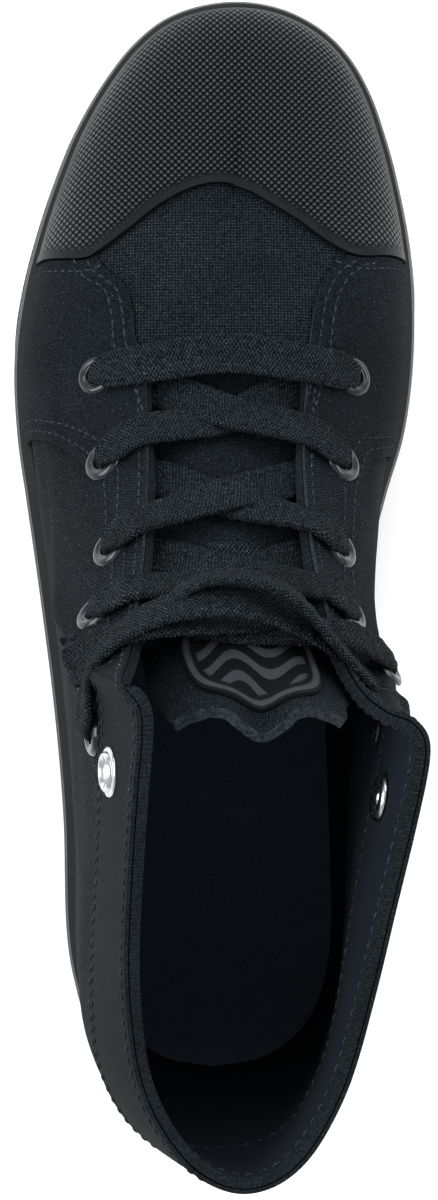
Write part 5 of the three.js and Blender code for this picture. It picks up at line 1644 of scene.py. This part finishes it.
@dataclass
class Tongue:
    """The cloth tongue with its woven badge and the keeper that the lace runs under."""

    form: ShoeForm
    thickness: float = 2.6
    badge_thickness: float = 0.7
    dent_place: float = 0.03
    dent_spread: float = 0.24
    badge_middle: tuple[float, float] = (0.05, 0.85)
    badge_reach: tuple[float, float] = (0.66, 0.115)
    keeper_sides: tuple[float, float] = (-0.25, 0.32)
    keeper_stations: tuple[float, float] = (0.572, 0.634)
    keeper_thickness: float = 0.7
    keeper_gap: float = 0.35
    keeper_bow: float = 1.1
    table: SmoothTable = field(default_factory=lambda: SmoothTable(TONGUE_ROWS))

    def middle(self, station: Array) -> Array:
        """Return points of the tongue's middle line."""
        return self.table.read(station)[..., :3] * self.form.sizes.scale

    def point(self, station: Array, side: Array) -> Array:
        """Return points of the front face: across by side * half width, back by (drop s^2 + dent) of it."""
        station, side = np.broadcast_arrays(np.asarray(station, float), np.asarray(side, float))
        held = np.clip(station, 0.01, 0.99)
        ahead = unit(self.middle(held + 0.01) - self.middle(held - 0.01))
        outward = unit(np.cross(ahead, [1.0, 0.0, 0.0]))
        values = self.table.read(station)
        half = self.form.sizes.ball_width * values[..., 3]
        fold = np.exp(-(((side - self.dent_place) / self.dent_spread) ** 2))
        back = half * (values[..., 4] * side * side + values[..., 5] * fold)
        result = self.middle(station) - outward * back[..., None]
        result[..., 0] += side * half
        return result

    def normal(self, station: Array, side: Array) -> Array:
        """Return the front face's outward directions."""
        station = np.clip(station, 0.01, 0.99)
        along = self.point(station + 0.01, side) - self.point(station - 0.01, side)
        across = self.point(station, np.asarray(side) + 0.01) - self.point(station, np.asarray(side) - 0.01)
        return unit(np.cross(along, across))

    def cloth(self) -> Build:
        """Return the tongue: soft swells a * sin * cos over the face, and a top edge that waves a little."""
        patch = Patch.over(np.linspace(1, -1, 97), np.linspace(0, 1, 131))
        side, row = patch.places.T
        wave = 0.008 * np.cos(4.7 * side) - 0.004 * side + 0.001 * np.sin(31 * side + 1)
        wave = wave - 0.07 * smoothstep(0.8, 1.0, np.abs(side))
        station = row * (1.0 - 0.013 + wave * smoothstep(0.7, 1.0, row))
        points = self.point(station, side)
        swell = 0.25 * np.sin(14 * station + 1.5 * side) * np.cos(4 * side) * (1 - side**2)
        soft = self.thickness * 0.28 * (1 - np.abs(side) ** 6) - 0.5
        points += self.normal(station, side) * (np.minimum(swell + soft, 0.0))[:, None]
        uv = np.stack([side, station], -1) * CLOTH_UV
        return shell(points, patch.faces, uv, -self.thickness + 0.4, 0.0, (0, 0, 1))

    def badge(self) -> Build:
        """Return the badge: a superellipse |x|^3.3 + |y|^3.3 = 1 over the tongue, with a raised rim."""
        pole = 0.02
        patch = Patch.over(np.linspace(0, 2 * np.pi, 145), np.linspace(pole, 1, 26))
        turn, radius = patch.places.T
        across, along = (signed_power(wave(turn), 0.6) * radius for wave in (np.cos, np.sin))
        side = self.badge_middle[0] + across * self.badge_reach[0]
        station = self.badge_middle[1] - along * self.badge_reach[1]
        rim = 0.3 * np.exp(-(((radius - 0.94) / 0.045) ** 2))
        points = self.point(station, side) + self.normal(station, side) * 0.2
        uv = np.stack([across, along], -1) * BADGE_UV
        faces = patch.faces
        trial = points[faces[:400]]
        looks = np.cross(trial[:, 1] - trial[:, 0], trial[:, 2] - trial[:, 0]).sum(0)
        if looks @ self.normal(self.badge_middle[1], 0.0) < 0:
            faces = faces[:, ::-1]
        inmost = radius <= pole
        points[inmost] = points[inmost].mean(0)
        return shell(points, faces, uv, 0.1, self.badge_thickness + rim)

    def keeper(self) -> Build:
        """Return the webbing keeper: a flat band across the tongue that bows out by bow * (1 - s^4)."""
        low, high = self.keeper_sides
        patch = Patch.over(np.linspace(high, low, 61), np.linspace(*self.keeper_stations, 17))
        side, row = patch.places.T
        share = 2 * (side - low) / (high - low) - 1
        lift = self.keeper_gap + self.keeper_bow * (1 - share**4)
        uv = np.stack([side, row], -1) * CLOTH_UV
        return shell(self.point(row, side), patch.faces, uv, lift, lift + self.keeper_thickness)

    def build(self, paint: Paint) -> None:
        """Make the tongue's pieces."""
        cloths = [paint["facing_canvas"], paint["raw_edge"]]
        make_piece("tongue_cloth", self.cloth(), cloths, ["tongue"], SOFT_CREASE)
        badge = [paint["badge_weave"]]
        make_piece("woven_badge", self.badge(), badge, ["tongue_badge"], SOFT_CREASE)
        make_piece("keeper", self.keeper(), [paint["webbing"]])


# Lace


@dataclass(frozen=True)
class Knot:
    """One place on a band's path: its point, the way its face looks, and the band's width and thickness."""

    point: Array
    face: Array
    width: float = 9.0
    thickness: float = 1.9


# Crossings from the toe up: tongue stations where a band starts and where the two meet, and the share along
# the sole where they pass the throat's edge.
CROSSING_ROWS = ((0.215, 0.3, 0.6), (0.41, 0.48, 0.522), (0.58, 0.66, 0.468), (0.72, 0.8, 0.433))
# Knots of the slack arch: the place across, along and up, and the way the band's face looks.
OUTER_ARCH_ROWS = (
    (0.245, 0.419, 0.735, 0.6, 0.6, 0.5), (0.215, 0.432, 0.77, 0.5, 0.7, 0.5),
    (0.144, 0.449, 0.79, 0.3, 0.75, 0.6),
    (0.012, 0.4625, 0.81, 0, 0.8, 0.6), (-0.148, 0.453, 0.81, -0.45, 0.75, 0.5),
    (-0.27, 0.418, 0.79, -0.85, 0.5, 0.2),
)
INNER_ARCH_ROWS = (
    (-0.2, 0.425, 0.73, -0.6, 0.7, 0.3), (-0.15, 0.445, 0.765, -0.5, 0.8, 0.3),
    (-0.068, 0.475, 0.785, -0.2, 0.95, 0.25), (0.032, 0.481, 0.805, 0, 1, 0.2),
    (0.13, 0.468, 0.815, 0.3, 0.95, 0.2), (0.215, 0.435, 0.8, 0.75, 0.65, 0.1),
    (0.3, 0.4, 0.77, 0.95, 0.3, 0),
)


@dataclass
class Lace:
    """The flat woven lace: a straight bar, four crossings and a slack top arch, through the eyelets."""

    form: ShoeForm
    tongue: Tongue
    hardware: Hardware
    width: float = 9.0
    thickness: float = 1.9
    on_tongue: float = 1.6
    on_facing: float = 2.3
    on_flange: float = 2.75
    crossing_lift: float = 2.3
    start_side: float = 0.72
    edge_share: float = 0.985
    throat_span: tuple[float, float] = (0.515, 0.72)
    step: float = 0.36
    round_points: int = 52
    knob_height: float = 0.07
    knob_along: float = 3.1
    knob_across: float = 15.3

    def band(self, knots: Sequence[Knot]) -> Build:
        """Sweep the band's section along its knots.

        The path is a cubic Hermite curve over the chords. The section is x = cos^0.42, y = sin^0.6 at half
        the width and half the thickness, with a shallow trough along its middle, pleats cos(2.6 pi x) that
        deepen where it narrows, and braid knobs sin(a s + b x) sin(a s - b x).

        Args:
            knots: the places that the band passes.

        Returns:
            The closed band.
        """
        points = np.array([knot.point for knot in knots])
        chord = travel_along(points)
        table = SmoothTable([
            (place, *knot.point, *knot.face, knot.width, knot.thickness) for place, knot in zip(chord, knots)
        ])
        place = np.linspace(0, chord[-1], max(12, int(chord[-1] / self.step)))
        values = table.read(place)
        path, face = values[:, :3], values[:, 3:6]
        ahead = unit(np.gradient(path, axis=0))
        across = unit(np.cross(ahead, face))
        face = unit(np.cross(across, ahead))
        angle = full_turn(self.round_points)
        sideways = signed_power(np.cos(angle), 0.42)
        upward = signed_power(np.sin(angle), 0.6)
        gathered = smoothstep(self.width, self.width * 0.6, values[:, 6:7])
        pleats = (0.05 + 0.3 * gathered) * np.cos(sideways * 2.6 * np.pi + 0.25 * place[:, None])
        trough = -0.12 * np.cos(sideways * np.pi) + pleats
        forward, aside = self.knob_along * place[:, None], self.knob_across * sideways
        knobs = np.sin(forward + aside) * np.sin(forward - aside)
        ripple = 0.1 * np.sin(place * 1.7 + points[0, 0])[:, None]
        ripple = ripple + self.knob_height * knobs * np.sign(upward)
        half_width = values[:, 6:7] / 2 * (1 + 0.012 * np.sin(place * 2.3)[:, None])
        half_thick = values[:, 7:8] / 2
        rings = (
            path[:, None]
            + across[:, None] * (half_width * sideways)[..., None]
            + face[:, None] * (half_thick * upward + trough * half_width * 2 / self.width + ripple)[..., None]
        )
        nominal = np.stack([sideways * self.width / 2, upward * self.thickness / 2], -1)
        return facing_out(swept(rings, False, travel_along(nominal)))

    def through(self, disc: Disc, near: Array) -> list[Knot]:
        """Return the knots from a flange down through its eyelet, coming from a nearby point."""
        away = disc.aside(near)
        rows = (
            (self.on_flange, 4.4, disc.axis, 0.97, 1.0),
            (self.on_flange - 0.15, 1.6, unit(disc.axis - 0.45 * away), 0.68, 1.3),
            (0.7, -0.1, -away, 0.4, 1.9),
            (-3.4, 0.0, -away, 0.36, 2.0),
        )
        return [
            Knot(disc.middle + disc.axis * up + away * out, face, self.width * wide, self.thickness * thick)
            for up, out, face, wide, thick in rows
        ]

    def under(self, disc: Disc, towards: Array) -> Knot:
        """Return the knot behind a facing from which a band comes out, a little nearer the throat."""
        return Knot(disc.middle + (disc.aside(towards) - disc.axis) * 3.0, disc.axis, self.width * 0.8)

    def edge_knot(self, side: Side, along: float, lift: float) -> Knot:
        """Return the knot over the throat's edge of one side at a distance along the shoe."""
        form = self.form

        def behind(middle: Array) -> bool:
            """Return whether the edge there lies behind the place."""
            return form.point(side.value * middle, 1.0)[1] < along

        station = side.value * halved(*self.throat_span, behind)
        face = form.normal(station, self.edge_share)
        return Knot(form.point(station, self.edge_share) + face * lift, face)

    def tongue_knot(self, station: float, side: float, lift: float) -> Knot:
        """Return the knot over a place on the tongue."""
        face = self.tongue.normal(station, side)
        return Knot(self.tongue.point(station, side) + face * lift, face)

    def crossing_band(self, index: int, side: Side, lift: float) -> Build:
        """Return one band of a crossing, from behind the other side's facing to the eyelet of this one."""
        start, middle, edge = CROSSING_ROWS[index]
        disc = self.hardware.eyelets[side][index + 1]
        edge_knot = self.edge_knot(side, edge * self.form.sizes.sole_length, self.on_facing)
        begin = self.tongue_knot(start, -side.value * self.start_side, self.on_tongue)
        return self.band([
            self.under(self.hardware.eyelets[side.other][index], begin.point),
            begin,
            self.tongue_knot(middle, 0.0, self.on_tongue + 0.3 + lift),
            edge_knot,
            *self.through(disc, edge_knot.point),
        ])

    def crossing(self, index: int) -> Build:
        """Return both bands of a crossing; the upper one changes sides from row to row."""
        top = Side.INNER if index % 2 == 0 else Side.OUTER
        below = self.crossing_band(index, top.other, 0.0)
        return Build.joined([below, self.crossing_band(index, top, self.crossing_lift)])

    def bar(self) -> Build:
        """Return the straight bar through the first pair of eyelets."""
        sizes = self.form.sizes
        along = 0.662 * sizes.sole_length
        edges = [self.edge_knot(side, along, self.on_facing + 0.3) for side in Side]
        foot = self.form.point(sizes.throat_station, 1.0)
        middle = Knot(foot + [0.0, -self.width / 2, self.on_facing + 0.4], np.array([0.0, 0.0, 1.0]))
        outer, inner = (
            self.through(self.hardware.eyelets[side][0], edge.point) for side, edge in zip(Side, edges)
        )
        return self.band([*outer[::-1], edges[0], middle, edges[1], *inner])

    def arch_band(self, rows: Sequence[Sequence[float]], from_disc: Disc, to_disc: Disc) -> Build:
        """Return one band of the slack arch, from behind one facing to the top eyelet of the other."""
        scale = self.form.sizes.scale
        knots = [Knot(row[:3] * scale, unit(row[3:])) for row in np.asarray(rows, dtype=float)]
        first = self.under(from_disc, knots[0].point)
        return self.band([first, *knots, *self.through(to_disc, knots[-1].point)])

    def arch(self) -> Build:
        """Return the slack top pair of bands, which arch in front of the tongue."""
        outer, inner = self.hardware.eyelets[Side.OUTER], self.hardware.eyelets[Side.INNER]
        return Build.joined([
            self.arch_band(OUTER_ARCH_ROWS, inner[4], outer[5]),
            self.arch_band(INNER_ARCH_ROWS, outer[4], inner[5]),
        ])

    def build(self, paint: Paint) -> None:
        """Make the lace, one piece for each row; the top crossing and the arch are one."""
        rows = [("lace_row_1", self.bar(), "lace_bar")]
        rows += [(f"lace_row_{row}", self.crossing(row - 2), f"lace_crossing_{row}") for row in (2, 3, 4)]
        rows.append(("lace_rows_5_6", Build.joined([self.crossing(3), self.arch()]), "lace_arch"))
        for name, build, node in rows:
            make_piece(name, build, [paint["webbing"]], [node], SOFT_CREASE)


# Sewing


@dataclass
class Sewing:
    """Rows of stitches: small arched threads that lie along lines on the cloth."""

    upper: ClothUpper
    pitch: float = 2.6
    stitch_length: float = 1.9
    stitch_width: float = 0.55
    stitch_height: float = 0.34
    off_cloth: float = 0.02
    facing_rows: tuple[float, ...] = (2.0, 4.4)
    band_rows: tuple[float, ...] = (1.6, 4.0)
    lining_rows: tuple[float, ...] = (2.0, 24.0)

    def stitches(self, points: Array, normals: Array, scale: float = 1.0) -> Build | None:
        """Lay stitches along a line.

        Each stitch is a spindle: its radius follows sqrt(1 - t^2) along its length, and it arches.

        Args:
            points: points of the line in millimetres.
            normals: the cloth's directions there.
            scale: size of the stitches against the usual ones.

        Returns:
            The stitches, or None where the line is too short.
        """
        travel = travel_along(points)
        pitch = self.pitch * scale
        if travel[-1] < pitch:
            return None
        middles = np.arange(pitch / 2, travel[-1], pitch)
        half = self.stitch_length * scale / 2

        def read(values: Array, places: Array) -> Array:
            """Return the values at distances along the line."""
            return np.stack([np.interp(places, travel, column) for column in values.T], -1)

        middle, up = read(points, middles), unit(read(normals, middles))
        along = unit(read(points, middles + half) - read(points, middles - half))
        across = unit(np.cross(up, along))
        up = np.cross(along, across)
        reach = np.array([-1.0, -0.85, -0.35, 0.35, 0.85, 1.0])
        radius = np.sqrt(np.clip(1 - reach**2, 0.0, 1.0)) * 0.75 + 0.25
        radius[[0, -1]] = 0.12
        angle = full_turn(6)
        wide = radius[:, None] * np.cos(angle) * self.stitch_width * scale / 2
        high = radius[:, None] * np.sin(angle) * self.stitch_height * scale / 2
        arch = (0.16 - 0.3 * reach**2)[:, None] * scale
        long = np.broadcast_to(reach[:, None] * half, wide.shape)
        rings = (
            middle[:, None, None]
            + along[:, None, None] * long[None, ..., None]
            + across[:, None, None] * wide[None, ..., None]
            + up[:, None, None] * (high + arch)[None, ..., None]
        )
        base = facing_out(swept(rings[0], False))
        count, size = len(middles), rings.shape[1] * rings.shape[2]
        offset = (np.arange(count) * size)[:, None, None]
        faces = [(part[None] + offset).reshape(-1, part.shape[1]) for part in base.faces]
        uv = [np.tile(part, (count, 1, 1)) for part in base.corner_uv]
        finish = [np.tile(part, count) for part in base.finish]
        return Build(rings.reshape(-1, 3), faces, uv, finish)

    def along_lines(self, patch: Patch, measure: Measure, level: float, height: float,
                    inside: bool = False, scale: float = 1.0, reach: float = 1.0) -> list[Build]:
        """Sew along the lines on which a field has one value over a patch.

        Args:
            patch: where to sew.
            measure: gives the field at an array of places.
            level: the value to follow.
            height: distance of the stitches from the form.
            inside: whether they lie within the shoe.
            scale: size of the stitches against the usual ones.
            reach: how far from the heel's station the rows go.

        Returns:
            The rows of stitches.
        """
        builds = []
        for places in patch.line(measure, level):
            places = places[np.abs(places[:, 0]) < reach]
            if len(places) < 4:
                continue
            points = self.upper.surface(Patch(places, np.zeros((0, 3), int)))
            normals = self.upper.form.normal(*places.T) * (-1 if inside else 1)
            sewn = self.stitches(points + normals * height, normals, scale)
            if sewn is not None:
                builds.append(sewn)
        return builds

    def build(self, paint: Paint) -> None:
        """Sew the facings, the band and the seams, and the collar's lining inside the shaft."""
        upper, lines = self.upper, self.upper.lines
        sizes = upper.form.sizes
        top = sizes.clearance + sizes.overlay_thickness + self.off_cloth
        rows: list[Build] = []
        for side in Side:
            patch = upper.facing_patch(side)
            for level in self.facing_rows:
                rows += self.along_lines(patch, lambda places: lines.seam(places, side), level, top)
                rows += self.along_lines(patch, lambda places: lines.vamp(places, side), level, top)
            rows += self.along_lines(patch, lambda places: -lines.cap(places), 3.0, top)
            rows += self.along_lines(patch, lines.collar, 2.2, top, reach=0.72)
        band = upper.band_patch()
        for level in self.band_rows:
            rows += self.along_lines(band, lines.band, level, top)
        rows += self.along_lines(band, lines.collar, 2.0, top)
        inner: list[Build] = []
        for level in self.lining_rows:
            inner += self.along_lines(band, lines.collar, level, sizes.upper_wall + self.off_cloth, True, 1.1)
        for name, sewn in (("outer_stitches", rows), ("inner_stitches", inner)):
            make_piece(name, Build.joined(sewn), [paint["thread"]], (), SOFT_CREASE)


# Studio


# Lamps: name, place and aim in metres, width in metres and power in watts.
LAMP_ROWS = (
    ("soft_left", (-1.0, 0.1, 0.9), (0.0, 0.0, 0.05), 0.9, 16.0),
    ("soft_right", (1.1, 0.3, 0.9), (0.0, 0.0, 0.05), 0.8, 9.0),
    ("soft_toe", (0.1, 1.1, 1.0), (0.0, 0.05, 0.05), 0.8, 8.0),
)


@dataclass(frozen=True)
class Studio:
    """The floor, the lights and the camera."""

    camera_place: tuple[float, float, float] = (-11.3, 124.9, 496.98)
    camera_pitch: float = 0.0097
    camera_roll: float = 0.0256
    focal_pixels: float = 1966.0
    frame_height: float = 1200.0
    sensor: float = 36.0
    floor_reach: float = 3.0
    floor_squares: int = 6
    floor_level: float = -0.0002
    floor_glow: float = 0.2
    sky: float = 0.75

    @staticmethod
    def placed(name: str, data: bpy.types.ID, turn: Array) -> bpy.types.Object:
        """Put a camera or a light into the scene by its matrix."""
        thing = bpy.data.objects.new(name, data)
        thing.matrix_world = Matrix(turn.tolist())
        bpy.context.scene.collection.objects.link(thing)
        return thing

    def camera(self) -> None:
        """Make the camera; its axes are the rows of Rx(pitch) Ry(roll)."""
        data = bpy.data.cameras.new("camera")
        data.sensor_fit = "VERTICAL"
        data.sensor_height = self.sensor
        data.lens = self.focal_pixels / self.frame_height * self.sensor
        data.clip_start = 0.01
        data.clip_end = 20.0
        ca, sa = math.cos(self.camera_pitch), math.sin(self.camera_pitch)
        cb, sb = math.cos(self.camera_roll), math.sin(self.camera_roll)
        pitch = np.array([[1, 0, 0], [0, ca, -sa], [0, sa, ca]])
        roll = np.array([[cb, 0, sb], [0, 1, 0], [-sb, 0, cb]])
        turn = np.eye(4)
        turn[:3, :3] = (pitch @ roll).T
        turn[:3, 3] = (np.array(self.camera_place) + FRAME_SHIFT) * MILLIMETRE
        bpy.context.scene.camera = self.placed("camera", data, turn)

    def light(self, name: str, place: Sequence[float], aim: Sequence[float], size: float,
              power: float) -> None:
        """Make one square soft light that looks at a point."""
        data = bpy.data.lights.new(name, "AREA")
        data.shape = "SQUARE"
        data.size = size
        data.energy = power
        back = unit(np.array(place) - np.array(aim))
        side = unit(np.cross([0.0, 1.0, 0.001], back))
        turn = np.eye(4)
        turn[:3, :3] = np.stack([side, np.cross(back, side), back], -1)
        turn[:3, 3] = place
        self.placed(name, data, turn)

    def floor(self) -> None:
        """Make the plain pale floor, a flat grid of wide squares that glows a little to lift the shadow."""
        count = self.floor_squares + 1
        reach = np.linspace(-self.floor_reach, self.floor_reach, count)
        across, along = np.meshgrid(reach, reach, indexing="ij")
        points = np.stack([across, along, np.full_like(across, self.floor_level)], -1).reshape(-1, 3)
        first = (np.arange(count - 1)[:, None] * count + np.arange(count - 1)[None, :]).ravel()
        faces = np.stack([first, first + count, first + count + 1, first + 1], -1)
        mesh = bpy.data.meshes.new("floor")
        mesh.from_pydata(points.tolist(), [], faces.tolist())
        mesh.materials.append(NodeTree("floor_paint").finished({
            "Base Color": (0.93, 0.93, 0.93, 1.0),
            "Roughness": 0.9,
            "Emission Color": (1.0, 1.0, 1.0, 1.0),
            "Emission Strength": self.floor_glow,
        }))
        floor = bpy.data.objects.new("floor", mesh)
        bpy.context.scene.collection.objects.link(floor)

    def build(self) -> None:
        """Make the studio."""
        world = bpy.data.worlds.new("studio_air")
        world.use_nodes = True
        air = world.node_tree.nodes["Background"].inputs
        air["Color"].default_value = (1.0, 1.0, 1.0, 1.0)
        air["Strength"].default_value = self.sky
        bpy.context.scene.world = world
        bpy.context.scene.view_settings.view_transform = "Standard"
        self.floor()
        for lamp in LAMP_ROWS:
            self.light(*lamp)
        self.camera()


def main() -> None:
    """Build the sneaker's looks round the frame, piece by piece."""
    logging.basicConfig(level=logging.INFO, format="%(message)s")
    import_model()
    form = ShoeForm(ShoeSizes())
    hardware = Hardware(form)
    paint = {finish.name: finish.material() for finish in FINISHES}
    upper = ClothUpper(form, CutLines(form), hardware)
    tongue = Tongue(form)
    for part in (Sole(form), upper, tongue, hardware, Lace(form, tongue, hardware), Sewing(upper)):
        part.build(paint)
    Studio().build()


if __name__ == "__main__":
    main()
